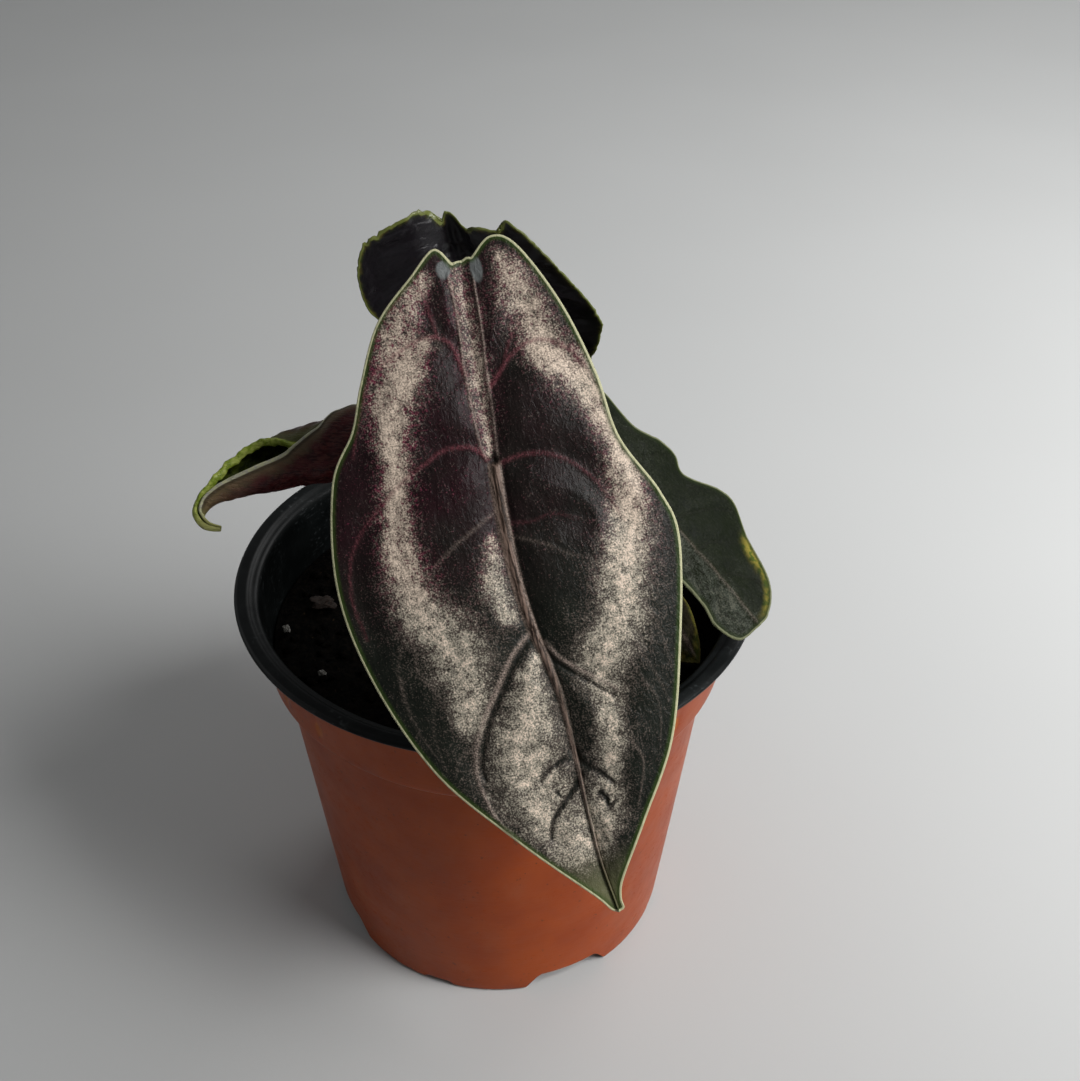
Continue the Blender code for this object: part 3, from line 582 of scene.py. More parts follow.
def right_shape(x, y, edge):
    wave = 1.1 * np.sin(y / 3.4 + 0.8) * (x / 15.0) ** 2
    near = -0.45 * np.sqrt(x * x + 1.0)
    far = 0.12 * x - 0.006 * x * x - 0.45
    height = np.where(x < 0, near, far) + wave
    veins = Veins(x, y)
    for side in (RIGHT_LEFT, RIGHT_RIGHT):
        side_veins(veins, RIGHT_RIB, side, 0.14, 0.45, -0.18, 0.35)
    offset = rib_offset(x, y, RIGHT_RIB)
    puff = 0.5 * (1 - bell(np.minimum(veins.clear, np.abs(offset)), 3.0))
    ripple = 0.35 * wobble(x, y, 6.0, 41.0) + 0.08 * wobble(x, y, 2.0, 42.0)
    height = height + (puff + ripple) * smooth(edge, 0.2, 3.0) + 0.3 * bell(offset, 0.6) + veins.relief
    blotch = 0.5 * wobble(x, y, 6.0, 43.0)
    silver_and_sheen = 0.85 - 0.62 * smooth(x, -1.6, 2.4) + 0.3 * bell(x - 4, 4, y - 2, 9)
    silver_and_sheen = np.clip(silver_and_sheen + blotch * 0.45, 0, 1)
    numbers = dict(veins.tones, silver_and_sheen=silver_and_sheen)
    numbers["rib_line"] = bell(offset, 0.4) * 0.2
    yellow = smooth(x, 6, 11) * smooth(-y, 26, 31) * (1 - smooth(-y, 34, 38)) * (1 - smooth(edge, 1.0, 4.4))
    tip_green = 0.7 * smooth(-y, 29, 36) * (1 - smooth(edge, 0.8, 2.8)) * smooth(x, -1, 4)
    numbers["yellow"] = np.clip(np.maximum(yellow, tip_green) + 0.1 * blotch * yellow, 0, 1)
    # Dark spots on the near half, laid into the mask that carries the painted groove shade.
    grain = 0.6 * smooth(-x, 0.5, 2.5) * smooth(wobble(x * 2.2, y, 1.5, 45.0), 0.2, 0.45)
    numbers["groove_shade_and_spots"] = np.maximum(numbers["groove_shade_and_spots"], grain)
    return height, 0.6 * bell(offset, 0.9) * smooth(edge, 0.5, 3) + veins.under, numbers


def old_shape(x, y, edge):
    height = -0.05 * x * x * (1 - 0.01 * y) + np.sin(y / 3.0) * (x / 10.0)
    offset = rib_offset(x, y, OLD_RIB)
    wrinkle = 0.4 * wobble(x * 2.5, y, 4.0, 51.0) + 0.15 * wobble(x, y, 1.3, 52.0)
    height = height + wrinkle * smooth(edge, 0.2, 2.0)
    numbers = {"silver_and_sheen": 0.2 + 0.3 * wobble(x, y, 3.0, 53.0)}
    numbers["yellow"] = np.clip(1 - smooth(edge + 1.6 * wobble(x, y, 3.0, 54.0), 0.6, 3.4), 0, 1)
    numbers["rib_line"] = bell(offset, 0.5)
    return height, 0.4 * bell(offset, 0.8) * smooth(edge, 0.5, 3), numbers


def leaf_look(
    name, dark, dusk, speck, silver_and_sheen, bead, inner_edge, under, under_vein, roughness, magenta=0.0, gloss=0.16
):
    """The speckled skin of an alocasia blade. Its colours are laid over each other by the mesh's numbers."""
    look = Look(name, "leaf")
    fine = look.noise(0.33, detail=3.0)
    strokes = look.noise(0.95, detail=3.0, stretch=(1.0, 0.55, 1.0), distortion=0.6)
    # Silvery flecks, partly the blade's own marking and partly painted sheen.
    shine = look.times(look.value("silver_and_sheen"), look.scaled(look.noise(2.2, detail=4.0), 0.30, 1.45))
    shine = look.plus(shine, look.scaled(strokes, -0.22, 0.22))
    level = look.plus(fine, look.times(look.plus(shine, -0.5), 0.58))
    purple, edge, underside = look.value("purple"), look.value("edge"), look.value("underside")
    base = look.mix(purple, dark, dusk)
    base = look.two_tone(look.noise(5.0), 0.35, 0.75, base, look.mix(0.45, base, (0.003, 0.004, 0.003)))
    red = look.times(purple, look.fade(look.noise(0.7, detail=3.0), 0.40, 0.66), magenta)
    cool = (0.86 * silver_and_sheen[0], 0.97 * silver_and_sheen[1], 0.96 * silver_and_sheen[2])
    # The brightest flecks, twice as light as the silvery colour: painted glints.
    painted_glint = tuple(min(0.85, 2.1 * c) for c in silver_and_sheen)
    broken = look.scaled(look.fade(fine, 0.35, 0.62), 0.25, 1.0)  # breaks a vein's colour up
    streaks = look.noise(0.5, detail=2.0, stretch=(1.0, 0.10, 1.0))
    blotched = look.two_tone(look.noise(1.4), 0.4, 0.6, (0.075, 0.105, 0.012), (0.25, 0.21, 0.035))
    at_bead = look.fade(edge, 0.56, 0.36)
    skin = look.layers(
        base,
        (look.fade(level, 0.30, 0.50), look.mix(red, speck, (0.150, 0.024, 0.050))),
        (look.fade(level, 0.50, 0.68), look.two_tone(purple, 0.1, 0.7, cool, silver_and_sheen)),
        (look.fade(level, 0.66, 0.90), painted_glint),
        (look.times(look.value("pink"), broken, 0.85), (0.21, 0.058, 0.072)),
        (look.times(look.value("pale"), broken, 0.95), (0.40, 0.31, 0.26)),
        # Near black in sunk veins, creases and cracks: painted shade in the grooves, with the right blade's dark
        # spots.
        (look.times(look.value("groove_shade_and_spots"), 0.80), (0.008, 0.007, 0.005)),
        (look.value("rib"), look.two_tone(streaks, 0.4, 0.62, (0.026, 0.016, 0.011), (0.20, 0.135, 0.105))),
        (look.times(look.value("rib_line"), broken, 0.8), (0.36, 0.27, 0.22)),
        (look.value("wax"), look.mix(look.noise(0.6), (0.100, 0.108, 0.106), (0.185, 0.195, 0.192))),
        (look.value("pit"), (0.010, 0.008, 0.006)),
        (look.times(look.value("worn"), 0.88), (0.165, 0.165, 0.080)),
        (look.value("yellow"), blotched),
        (look.times(look.fade(edge, 1.5, 0.5), 0.8), inner_edge),
        (at_bead, bead),
    )
    folds_and_sheen = look.fade(look.noise(5.0, detail=2.0, stretch=(0.35, 1.2, 1.0), distortion=0.8), 0.45, 0.72)
    back = look.layers(
        under,
        # Lighter streaks along the underside's folds: painted glossy highlights over the folds' real bump.
        (look.times(folds_and_sheen, 0.5), tuple(2.0 * c for c in under)),
        (look.times(look.fade(look.cells(1.9), 0.08, 0.0), 0.35), under_vein),
        (look.times(look.value("yellow"), 0.75), blotched),
        (at_bead, bead),
    )
    normal = look.bump(fine, 0.05)
    normal = look.bump(look.times(strokes, look.scaled(underside, 1.0, 0.12)), 0.28, normal)
    normal = look.bump(look.times(folds_and_sheen, underside), 0.22, normal)
    rough = look.scaled(look.noise(1.5, detail=2.0), roughness - 0.08, roughness + 0.14)
    colour = look.mix(underside, skin, back)
    return look.finish(base_color=colour, roughness=rough, normal=normal, specular_ior_level=gloss)


YELLOW_BEAD = (0.50, 0.49, 0.30)
GREEN_EDGE = (0.030, 0.060, 0.008)
front_look = leaf_look(
    "front_leaf", (0.010, 0.013, 0.009), (0.018, 0.006, 0.008), (0.082, 0.068, 0.056), (0.37, 0.300, 0.240),
    YELLOW_BEAD, GREEN_EDGE, (0.055, 0.022, 0.026), (0.12, 0.06, 0.06), 0.42, magenta=1.0,
)
# The back blade's underside is set near black, far below the wine colour of the front blade's underside: painted
# shade.
back_look = leaf_look(
    "back_leaf", (0.012, 0.015, 0.011), (0.020, 0.008, 0.012), (0.07, 0.065, 0.05), (0.30, 0.24, 0.19),
    (0.15, 0.17, 0.040), (0.03, 0.045, 0.008), (0.0075, 0.0062, 0.0080), (0.018, 0.014, 0.018), 0.30,
    magenta=0.6, gloss=0.45,
)
right_look = leaf_look(
    "right_leaf", (0.005, 0.008, 0.002), (0.007, 0.007, 0.004), (0.012, 0.015, 0.007), (0.040, 0.041, 0.030),
    (0.17, 0.18, 0.10), (0.014, 0.024, 0.004), (0.024, 0.022, 0.014), (0.05, 0.045, 0.03), 0.52, gloss=0.08,
)
old_look = leaf_look(
    "old_leaf", (0.028, 0.022, 0.008), (0.024, 0.012, 0.009), (0.055, 0.046, 0.018), (0.075, 0.062, 0.024),
    (0.15, 0.13, 0.035), (0.10, 0.090, 0.018), (0.05, 0.04, 0.015), (0.08, 0.07, 0.025), 0.60,
)

BACK_EDGES = (ragged(BACK_LEFT, 1.0, 1.3, 61.0), ragged(BACK_RIGHT, 1.0, 1.3, 62.0))
RIGHT_EDGES = (ragged(RIGHT_LEFT, 0.5, 2.2, 63.0), ragged(RIGHT_RIGHT, 0.3, 3.0, 64.0))
OLD_EDGES = (ragged(OLD_LEFT, 0.8, 1.6, 65.0), ragged(OLD_RIGHT, 0.8, 1.6, 66.0))
FRONT_EDGES = (FRONT_LEFT, FRONT_RIGHT)
# Name, outline, shape, look, place, and points along and across each half
BLADES = [
    ("front", FRONT_RIB, FRONT_EDGES, front_shape, front_look, ((1.4, -36.5, 154.8), 0, 54, 13), 300, 72),
    ("back", BACK_RIB, BACK_EDGES, back_shape, back_look, ((-1.4, 12.6, 155.7), 180, 74, -20), 240, 60),
    ("right", RIGHT_RIB, RIGHT_EDGES, right_shape, right_look, ((28.8, -9.4, 134.3), 47, 40, 11), 200, 44),
    ("old", OLD_RIB, OLD_EDGES, old_shape, old_look, ((34.0, -9.0, 108.2), 49, 48, 0), 110, 30),
]
for name, rib, edges, shape, look, place, along, across in BLADES:
    piece = blade(f"{name}_blade", rib, edges, shape, look, leaf_place(*place), along, across)
    stands_for(piece, f"{name}_leaf_blade")


# ---------------------------------------------------------------- the new leaf, still rolled

# x, y, z, radius, and the angles of the near and far edges, in degrees about the roll from the front towards
# the top. The sheet runs from its far edge over the back, under and up.
ROLL_STATIONS = [
    (-9, -1.0, 137.5, 5.6, 128, 90),
    (-19, -3.5, 138.0, 7.4, 122, 80),
    (-30, -6.0, 138.3, 7.6, 112, 80),
    (-36, -7.4, 138.0, 6.9, 75, 58),
    (-41, -8.6, 137.5, 6.3, 54, 46),
    (-44.5, -9.8, 137.0, 6.0, 43, 84),
    (-49, -11.6, 136.3, 5.6, 40, 124),
    (-53.6, -14.0, 134.9, 4.2, 46, 120),
    (-57.4, -16.4, 133.2, 2.7, 62, 98),
    (-60, -18.3, 131.4, 1.8, 70, 90),
    (-60.8, -20.2, 129.6, 1.3, 70, 88),
    (-59.0, -22.0, 128.4, 1.0, 70, 86),
    (-56.0, -22.6, 128.2, 0.7, 70, 82),
]
ROLL_ACROSS = 110
ROLL_DEPTH = 0.35  # how deep the middle of the sheet lies inside the drawn radius


def roll_mesh():
    path = curve(ROLL_STATIONS, 16)
    reach = np.cumsum(np.linalg.norm(np.diff(path[:, :3], axis=0, prepend=path[:1, :3]), axis=1))
    share = np.linspace(0, 1, ROLL_ACROSS + 1)
    outer, inner, numbers = [], [], {"near": [], "far": [], "tip": []}
    for i, (x, y, z, radius, near, far) in enumerate(path):
        before, after = Vector(path[max(i - 1, 0), :3]), Vector(path[min(i + 1, len(path) - 1), :3])
        along = (before - after).normalized()
        up = (Vector((0, 0, 1)) - Vector((0, 0, 1)).project(along)).normalized()
        front_way = np.array(along.cross(up).normalized())
        angle = np.radians(far + (360 + near - far) * share)[:, None]
        way = front_way * np.cos(angle) + np.array(up) * np.sin(angle)
        around = np.radians(360 + near - far) * radius
        from_far, from_near = share * around, (1 - share) * around
        ripple = 0.28 * wobble(from_far * 1.2, np.full(share.shape, reach[i]), 3.0, 71.0)
        ripple += 0.10 * np.sin((from_far * 0.8 + reach[i] * 1.1) * 1.5)
        far_curl = 0.9 * bell(from_far, 1.5) * min(1.0, radius / 5)
        frill = far_curl * (1 + 0.75 * math.sin(reach[i] * 1.7) + 0.4 * math.sin(reach[i] * 4.1))
        middle = radius + (share - 0.5) * min(2.2, 0.3 * radius) + ripple * min(1.0, radius / 4) - 0.3 * frill
        thick = 0.20 + 0.65 * bell(from_far - 0.7, 1.0) + 0.22 * bell(from_near, 0.7)
        thick = np.minimum(thick, 0.35 * radius) * np.sqrt(np.clip(np.minimum(from_far, from_near) / 0.35, 0.0, 1.0))
        centre = path[i, :3]
        middle = middle[:, None] - ROLL_DEPTH
        outer.append(centre + way * (middle + thick[:, None]))
        inner.append(centre + way * (middle - thick[:, None]))
        numbers["near"].append(from_near)
        numbers["far"].append(from_far)
        numbers["tip"].append(np.full(share.shape, reach[-1] - reach[i]))
    rows, columns = len(path), ROLL_ACROSS + 1
    points = np.vstack([np.vstack(outer), np.vstack(inner)])
    quads = [grid_quads(rows, columns), grid_quads(rows, columns, rows * columns)]
    for row in (0, rows - 1):  # close the two ends
        a = row * columns + np.arange(columns - 1)
        quads.append(np.stack([a, a + 1, a + 1 + rows * columns, a + rows * columns], 1))
    values = {key: np.tile(np.concatenate(number), 2) for key, number in numbers.items()}
    values["inside"] = np.repeat([0.0, 1.0], rows * columns)
    return points, np.vstack(quads), values


def new_leaf_look():
    look = Look("new_leaf")
    near, far, tip = look.value("near"), look.value("far"), look.value("tip")
    slant = look.noise(1.3, detail=3.0, stretch=(0.40, 1.0, 0.9))
    lines = look.fade(look.noise(0.55, detail=2.0, stretch=(0.30, 1.4, 1.2)), 0.46, 0.60)
    pale = look.plus(near, look.scaled(slant, -1.5, 1.5))
    outside = look.layers(
        look.two_tone(slant, 0.38, 0.64, (0.030, 0.0025, 0.004), (0.080, 0.012, 0.014)),
        (look.times(lines, 0.50), (0.125, 0.042, 0.034)),
        (look.times(look.fade(pale, 4.0, 1.2), 0.8), (0.150, 0.112, 0.060)),
        (look.times(look.fade(tip, 22.0, 8.0), 0.7), (0.150, 0.105, 0.050)),
        (look.fade(far, 9.0, 3.0), (0.085, 0.085, 0.026)),
    )
    inside = look.two_tone(look.noise(1.6), 0.35, 0.65, (0.012, 0.018, 0.002), (0.050, 0.066, 0.006))
    rim = look.two_tone(look.noise(0.8), 0.35, 0.6, (0.40, 0.38, 0.31), (0.50, 0.49, 0.30))
    green = look.two_tone(look.noise(1.1), 0.4, 0.6, (0.20, 0.27, 0.025), (0.36, 0.42, 0.08))
    colour = look.layers(
        look.mix(look.value("inside"), outside, inside),
        (look.times(look.fade(near, 1.6, 1.0), 0.7), (0.045, 0.035, 0.020)),
        (look.fade(near, 0.80, 0.55), rim),
        (look.fade(far, 2.4, 1.5), green),
        (look.fade(tip, 9.0, 3.0), (0.27, 0.27, 0.09)),
    )
    normal = look.bump(look.noise(0.35, detail=1.0), 0.03, look.bump(lines, 0.10))
    rough = look.scaled(slant, 0.28, 0.46)
    return look.finish(base_color=colour, roughness=rough, normal=normal, specular_ior_level=0.25)


roll_points, roll_quads, roll_values = roll_mesh()
new_leaf = add_mesh("new_blade", roll_points, roll_quads, new_leaf_look(), values=roll_values)
stands_for(new_leaf, "new_leaf_blade")


# ---------------------------------------------------------------- petioles and sheaths

CROWN_TOP = 88.3
FOOT_RISE = 3.0  # the height of each stalk's straight foot
# The foot's x, y and radius, then x, y, z and radius up each stalk
STALKS = {
    "front": [
        (0.5, -4.7, 2.7), (1.5, -4.6, 108, 2.2), (2.6, -9, 132, 1.8), (2.2, -22, 147.5, 1.6),
        (1.5, -34.7, 153.6, 1.5),
    ],
    "back": [
        (-0.5, 5.1, 2.7), (0.2, 6.4, 108, 2.2), (0.2, 7.2, 130, 1.8), (-0.8, 8.2, 147, 1.5),
        (-1.3, 10.4, 154.6, 1.3),
    ],
    "right": [(4.9, 2.1, 2.5), (9.0, 1.4, 103, 2.1), (17.5, -1.5, 117, 1.7), (26.2, -5.8, 127.6, 1.4)],
    "new": [(-4.9, 0.2, 2.5), (-8.0, 0.6, 106, 2.1), (-13.5, -1.2, 121, 1.8), (-18.5, -4.2, 128.6, 1.6)],
    "old": [(6.6, -4.0, 1.8), (12.0, -5.6, 97, 1.5), (22.0, -7.6, 104.5, 1.3), (31.6, -8.6, 106.2, 1.1)],
}
STALK_SIDES = 40


def stalk(name, controls, look):
    """A fluted stalk, swollen at its foot."""
    (foot_x, foot_y, foot_radius), *rest = controls
    low, high = [(foot_x, foot_y, z, foot_radius) for z in (CROWN_TOP, CROWN_TOP + FOOT_RISE)]
    path = np.vstack([[low], curve([high, *rest], 24)])
    angle = np.linspace(0, 2 * math.pi, STALK_SIDES, endpoint=False)
    rings, side = [], Vector((1, 0, 0))
    for i, (x, y, z, radius) in enumerate(path):
        before, after = path[max(i - 1, 0), :3], path[min(i + 1, len(path) - 1), :3]
        along = Vector(after - before).normalized()
        side = (side - side.project(along)).normalized()
        other = along.cross(side)
        flute = 1 - 0.035 * np.cos(angle * 9 + 0.3 * math.sin(z / 9)) - 0.05 * bell(angle - 1.2, 0.35)
        flute = flute * (0.96 + 0.03 * math.sin(z * 0.9 + i * 0.11))
        way = np.array(side) * np.cos(angle)[:, None] + np.array(other) * np.sin(angle)[:, None]
        rings.append(np.array([x, y, z]) + way * (radius * flute)[:, None])
    points = np.vstack([np.tile(path[0, :3], (STALK_SIDES, 1)), *rings, np.tile(path[-1, :3], (STALK_SIDES, 1))])
    return add_mesh(name, points, tube_quads(len(path) + 2, STALK_SIDES), look)


def petiole_look(name, pale, green, brown):
    look = Look(name)
    streaks = look.noise(0.7, detail=3.0, stretch=(1.0, 1.0, 0.10))
    blotches = look.noise(2.2, detail=4.0, stretch=(1.0, 1.0, 0.45))
    colour = look.two_tone(streaks, 0.38, 0.64, green, pale)
    colour = look.two_tone(blotches, 0.50, 0.62, colour, brown)
    rough = look.scaled(blotches, 0.32, 0.55)
    return look.finish(base_color=colour, roughness=rough, normal=look.bump(streaks, 0.08), specular_ior_level=0.45)


STALK_LOOKS = {
    "petiole": petiole_look("petiole", (0.17, 0.17, 0.09), (0.07, 0.085, 0.03), (0.050, 0.026, 0.022)),
    "old_petiole": petiole_look("old_petiole", (0.22, 0.16, 0.08), (0.13, 0.10, 0.04), (0.06, 0.035, 0.02)),
}
for leaf, controls in STALKS.items():
    slot = "old_petiole" if leaf == "old" else "petiole"
    stands_for(stalk(f"{leaf}_stalk", controls, STALK_LOOKS[slot]), f"{leaf}_leaf_petiole")


SHEATH_FOOT = 86.6
SHEATH_RADIUS = 9.95


def sheath(name, start, end, height, look):
    """A papery scale round part of the crown, with a torn upper edge."""
    share = np.linspace(0, 1, 61)
    rise = np.linspace(0, 1, 31)
    azimuth = np.radians(start + (end - start) * share)[:, None]
    top = 3.0 + (height - 3.0) * np.sin(math.pi * share) ** 0.8
    top = top * (0.93 + 0.07 * wobble(share * 40, share * 0, 2.0, height))
    climb = top[:, None] * rise
    crinkle = 0.18 * wobble(np.degrees(azimuth) * 0.35 + climb * 0, climb, 2.2, start)
    radius = SHEATH_RADIUS + 0.10 * climb + crinkle * rise
    thin = 0.22 * np.minimum(1.0, np.minimum(share, 1 - share) * 30 + 0.15)[:, None] * (1.15 - rise)
    faces = [ring(azimuth, radius + side * thin, SHEATH_FOOT + climb).reshape(-1, 3) for side in (-1, 1)]
    size = len(share) * len(rise)
    quads = [grid_quads(len(share), len(rise)), grid_quads(len(share), len(rise), size)]
    index = np.arange(size).reshape(len(share), len(rise))
    for rim in (index[0], index[-1], index[:, 0], index[:, -1]):
        quads.append(np.stack([rim[:-1], rim[1:], rim[1:] + size, rim[:-1] + size], 1))
    return add_mesh(name, np.vstack(faces), np.vstack(quads), look)


def sheath_look():
    look = Look("sheath")
    fibres = look.noise(0.45, detail=3.0, stretch=(1.0, 1.0, 0.08))
    stain = look.noise(3.0, detail=3.0)
    colour = look.two_tone(fibres, 0.35, 0.65, (0.11, 0.060, 0.028), (0.33, 0.23, 0.13))
    colour = look.two_tone(stain, 0.5, 0.7, colour, (0.07, 0.035, 0.02))
    return look.finish(base_color=colour, roughness=look.scaled(stain, 0.65, 0.9), normal=look.bump(fibres, 0.10))


papery = sheath_look()
stands_for(sheath("left_scale", -130, -60, 11.0, papery), "left_sheath")
stands_for(sheath("back_scale", 140, 215, 13.0, papery), "back_sheath")


# ---------------------------------------------------------------- pot

FOOT_RADIUS, WALL_SLOPE, SHOULDER, POT_HEIGHT = 42.9, 0.101, 79.0, 100.8
FLOOR_UNDERSIDE = 6.5
NOTCHES, HOLES = 4, 6
COLLAR_RISE = (79.5, 82.5)  # the heights between which the wall steps out to the collar
COLLAR_STEP = 2.7
DIMPLE_HEIGHT, DIMPLE_RADIUS = 87.5, 53.9


def wall_radius(height):
    return FOOT_RADIUS + WALL_SLOPE * height


def rounded(profile, radius, steps=3):
    """A profile with each inner corner replaced by a short arc-like bend."""
    profile = [np.array(p, float) for p in profile]
    bent = [profile[0]]
    for before, corner, after in zip(profile, profile[1:], profile[2:]):
        a, b = before - corner, after - corner
        cut = min(radius, 0.45 * np.linalg.norm(a), 0.45 * np.linalg.norm(b))
        start, end = corner + a / np.linalg.norm(a) * cut, corner + b / np.linalg.norm(b) * cut
        for t in np.linspace(0, 1, steps + 1):
            bent.append((1 - t) ** 2 * start + 2 * t * (1 - t) * corner + t**2 * end)
    return np.array([*bent, profile[-1]])


def densified(profile, step):
    """Extra points on the long stretches of a profile."""
    points = [profile[0]]
    for a, b in zip(profile, profile[1:]):
        count = max(1, int(np.linalg.norm(b - a) / step))
        points += [a + (b - a) * (i + 1) / count for i in range(count)]
    return np.array(points)


def pot_profile():
    shoulder, floor = wall_radius(SHOULDER), FLOOR_UNDERSIDE + 1.2
    inside = [(0, 1.3), (11.2, 1.3), (13.8, floor), (41.2, floor), (wall_radius(9.5) - 1, 9.5)]
    inside += [(shoulder - 1, SHOULDER + 0.3), (shoulder - 0.3, SHOULDER + 1.9), (shoulder + 1.7, SHOULDER + 3.2)]
    inside += [(shoulder + 2.1, SHOULDER + 4.2), (54.2, POT_HEIGHT - 2.4), (54.9, POT_HEIGHT - 1.1)]
    inside += [(56.3, POT_HEIGHT - 0.8), (57.1, POT_HEIGHT - 0.1)]
    outside = [(59.4, POT_HEIGHT), (60, POT_HEIGHT - 0.4), (60, POT_HEIGHT - 0.9), (59.4, POT_HEIGHT - 1.4)]
    outside += [(56.6, POT_HEIGHT - 1.7), (55.7, POT_HEIGHT - 2.4), (shoulder + 3.1, SHOULDER + 3.4)]
    outside += [(shoulder + 2.5, SHOULDER + 2.4), (shoulder + 0.5, SHOULDER + 1.2), (shoulder, SHOULDER)]
    outside += [(wall_radius(0.7), 0.7), (FOOT_RADIUS - 0.6, 0)]
    underside = [(39.8, 0), (39.2, FLOOR_UNDERSIDE), (15.2, FLOOR_UNDERSIDE), (12.6, 0), (0, 0)]
    return densified(rounded(inside + outside + underside, 0.8), 2.4)


def pot_angles():
    """Azimuths from the front, in degrees, closer together over the dimples."""
    angles = set(np.arange(0, 360, 2.0).tolist())
    for centre in dimple_azimuths():
        angles |= set(np.round(np.arange(centre - 3, centre + 3.01, 0.5) % 360, 4).tolist())
    return np.array(sorted(angles))


def dimple_azimuths():
    return [90 * quarter - 50 + side for quarter in range(NOTCHES) for side in (-7, 7)]


def pot_points(profile, angles):
    azimuth = np.radians(angles)[None]
    radius = np.repeat(profile[:, :1], len(angles), 1)
    height = np.repeat(profile[:, 1:], len(angles), 1)
    outer = (radius > wall_radius(height) - 0.5 + COLLAR_STEP * smooth(height, *COLLAR_RISE)) & (height < 98.0)
    sag = 0.12 * np.sin(3 * azimuth + 0.6) + 0.07 * np.sin(7 * azimuth + height / 31)
    moved = radius + sag * smooth(height, 15, 80) * (radius > 30) * (radius < 59.9)
    for centre in dimple_azimuths():
        across = (np.degrees(azimuth) - centre + 180) % 360 - 180
        moved = moved - 0.45 * bell(np.radians(across) * 54, 1.25, height - DIMPLE_HEIGHT, 1.75) * outer
    return ring(azimuth, moved, height)


def cutter(name, points):
    """A prism between the two equal loops that its points make."""
    count = len(points) // 2
    faces = [tuple(range(count)), tuple(range(2 * count - 1, count - 1, -1))]
    faces += [(i, (i + 1) % count, (i + 1) % count + count, i + count) for i in range(count)]
    mesh = bpy.data.meshes.new(name)
    mesh.from_pydata([Vector(p) * MM for p in points], [], faces)
    face_outwards(mesh)
    return linked(name, mesh)


def wedge_cutter(azimuth, low, top, height):
    """A wedge through the foot ring with softened upper corners, wider at the bottom."""
    half = [(-low / 2 - 0.35 * low / height, -2), (-low / 2, 0)]
    half += [(-top / 2 - 0.6, height - 0.9), (-top / 2 + 0.5, height)]
    section = half + [(-x, z) for x, z in half[::-1]]
    turn = Matrix.Rotation(math.radians(azimuth), 3, "Z")
    return cutter(f"notch_{azimuth}", [turn @ Vector((x, y, z)) for y in (-48.0, -36.0) for x, z in section])


def round_cutter(x, y, radius=3.5, sides=32):
    angles = [2 * math.pi * i / sides for i in range(sides)]
    loop = [(x + radius * math.cos(angle), y + radius * math.sin(angle)) for angle in angles]
    return cutter("drain", [(*point, z) for z in (3.0, 11.0) for point in loop])


def cut(piece, cutters):
    """Takes the cutters out of a piece and removes them."""
    for other in cutters:
        change = piece.modifiers.new(other.name, "BOOLEAN")
        change.operation, change.solver, change.object = "DIFFERENCE", "EXACT", other
    graph = bpy.context.evaluated_depsgraph_get()
    mesh = bpy.data.meshes.new_from_object(piece.evaluated_get(graph))
    piece.modifiers.clear()
    piece.data = mesh
    for other in cutters:
        bpy.data.objects.remove(other)


def pot_look():
    """Terracotta plastic outside and black inside, in one moulding."""
    look = Look("pot_plastic")
    parts = look.node("ShaderNodeSeparateXYZ", {0: look.place}).outputs
    x, y, z = parts["X"], parts["Y"], parts["Z"]
    radius = look.maths("SQRT", look.plus(look.times(x, x), look.times(y, y)))
    wall = look.plus(look.times(z, WALL_SLOPE), FOOT_RADIUS - 0.5)
    wall = look.plus(wall, look.times(look.fade(z, *COLLAR_RISE), COLLAR_STEP))
    outside = look.times(look.fade(look.maths("SUBTRACT", radius, wall), -0.05, 0.05), look.fade(z, 98.75, 98.45))
    foot = look.times(look.fade(z, 6.2, 6.0), look.fade(radius, 39.0, 39.2))
    haze = look.fade(look.noise(7.0, detail=5.0, stretch=(1.0, 1.0, 0.5)), 0.48, 0.80)
    clay = look.layers(
        look.two_tone(look.noise(16.0, detail=4.0), 0.3, 0.7, (0.270, 0.040, 0.003), (0.340, 0.057, 0.005)),
        (look.times(haze, 0.15), (0.34, 0.13, 0.07)),
        (look.times(look.fade(look.noise(1.5, detail=2.0), 0.68, 0.74), 0.6), (0.10, 0.03, 0.012)),
        (look.times(look.fade(look.cells(4.3, "F1"), 0.065, 0.040), 0.65), (0.07, 0.022, 0.010)),
    )
    # Bright amber in the dimples: painted light shining through the thin plastic.
    flattened = look.stretched((1.0, 1.0, 0.5))
    for angle in np.radians(dimple_azimuths()):
        centre = tuple(ring(angle, DIMPLE_RADIUS, 0.5 * DIMPLE_HEIGHT).tolist())
        away = look.node("ShaderNodeVectorMath", {0: flattened, 1: centre}, operation="DISTANCE").outputs["Value"]
        clay = look.mix(look.times(look.fade(away, 1.5, 0.9), 0.75), clay, (0.42, 0.105, 0.004))
    scuff = look.fade(look.noise(1.3, detail=5.0, stretch=(1.0, 1.0, 2.5)), 0.57, 0.70)
    patch = look.times(scuff, look.fade(look.noise(12.0), 0.42, 0.60))
    black = look.two_tone(look.noise(5.0), 0.35, 0.7, (0.0035, 0.0045, 0.0045), (0.007, 0.0085, 0.0085))
    black = look.mix(look.times(patch, 0.5), black, (0.07, 0.078, 0.080))
    colour = look.mix(look.maths("MAXIMUM", outside, foot), black, clay)
    rough = look.plus(look.scaled(look.noise(6.0, detail=4.0), 0.30, 0.46), look.times(patch, 0.2))
    normal = look.bump(look.noise(0.8, detail=2.0, stretch=(0.04, 0.04, 1.0)), 0.025)
    normal = look.bump(look.noise(9.0, detail=2.0), 0.25, normal)
    return look.finish(base_color=colour, roughness=rough, normal=normal, specular_ior_level=0.16)


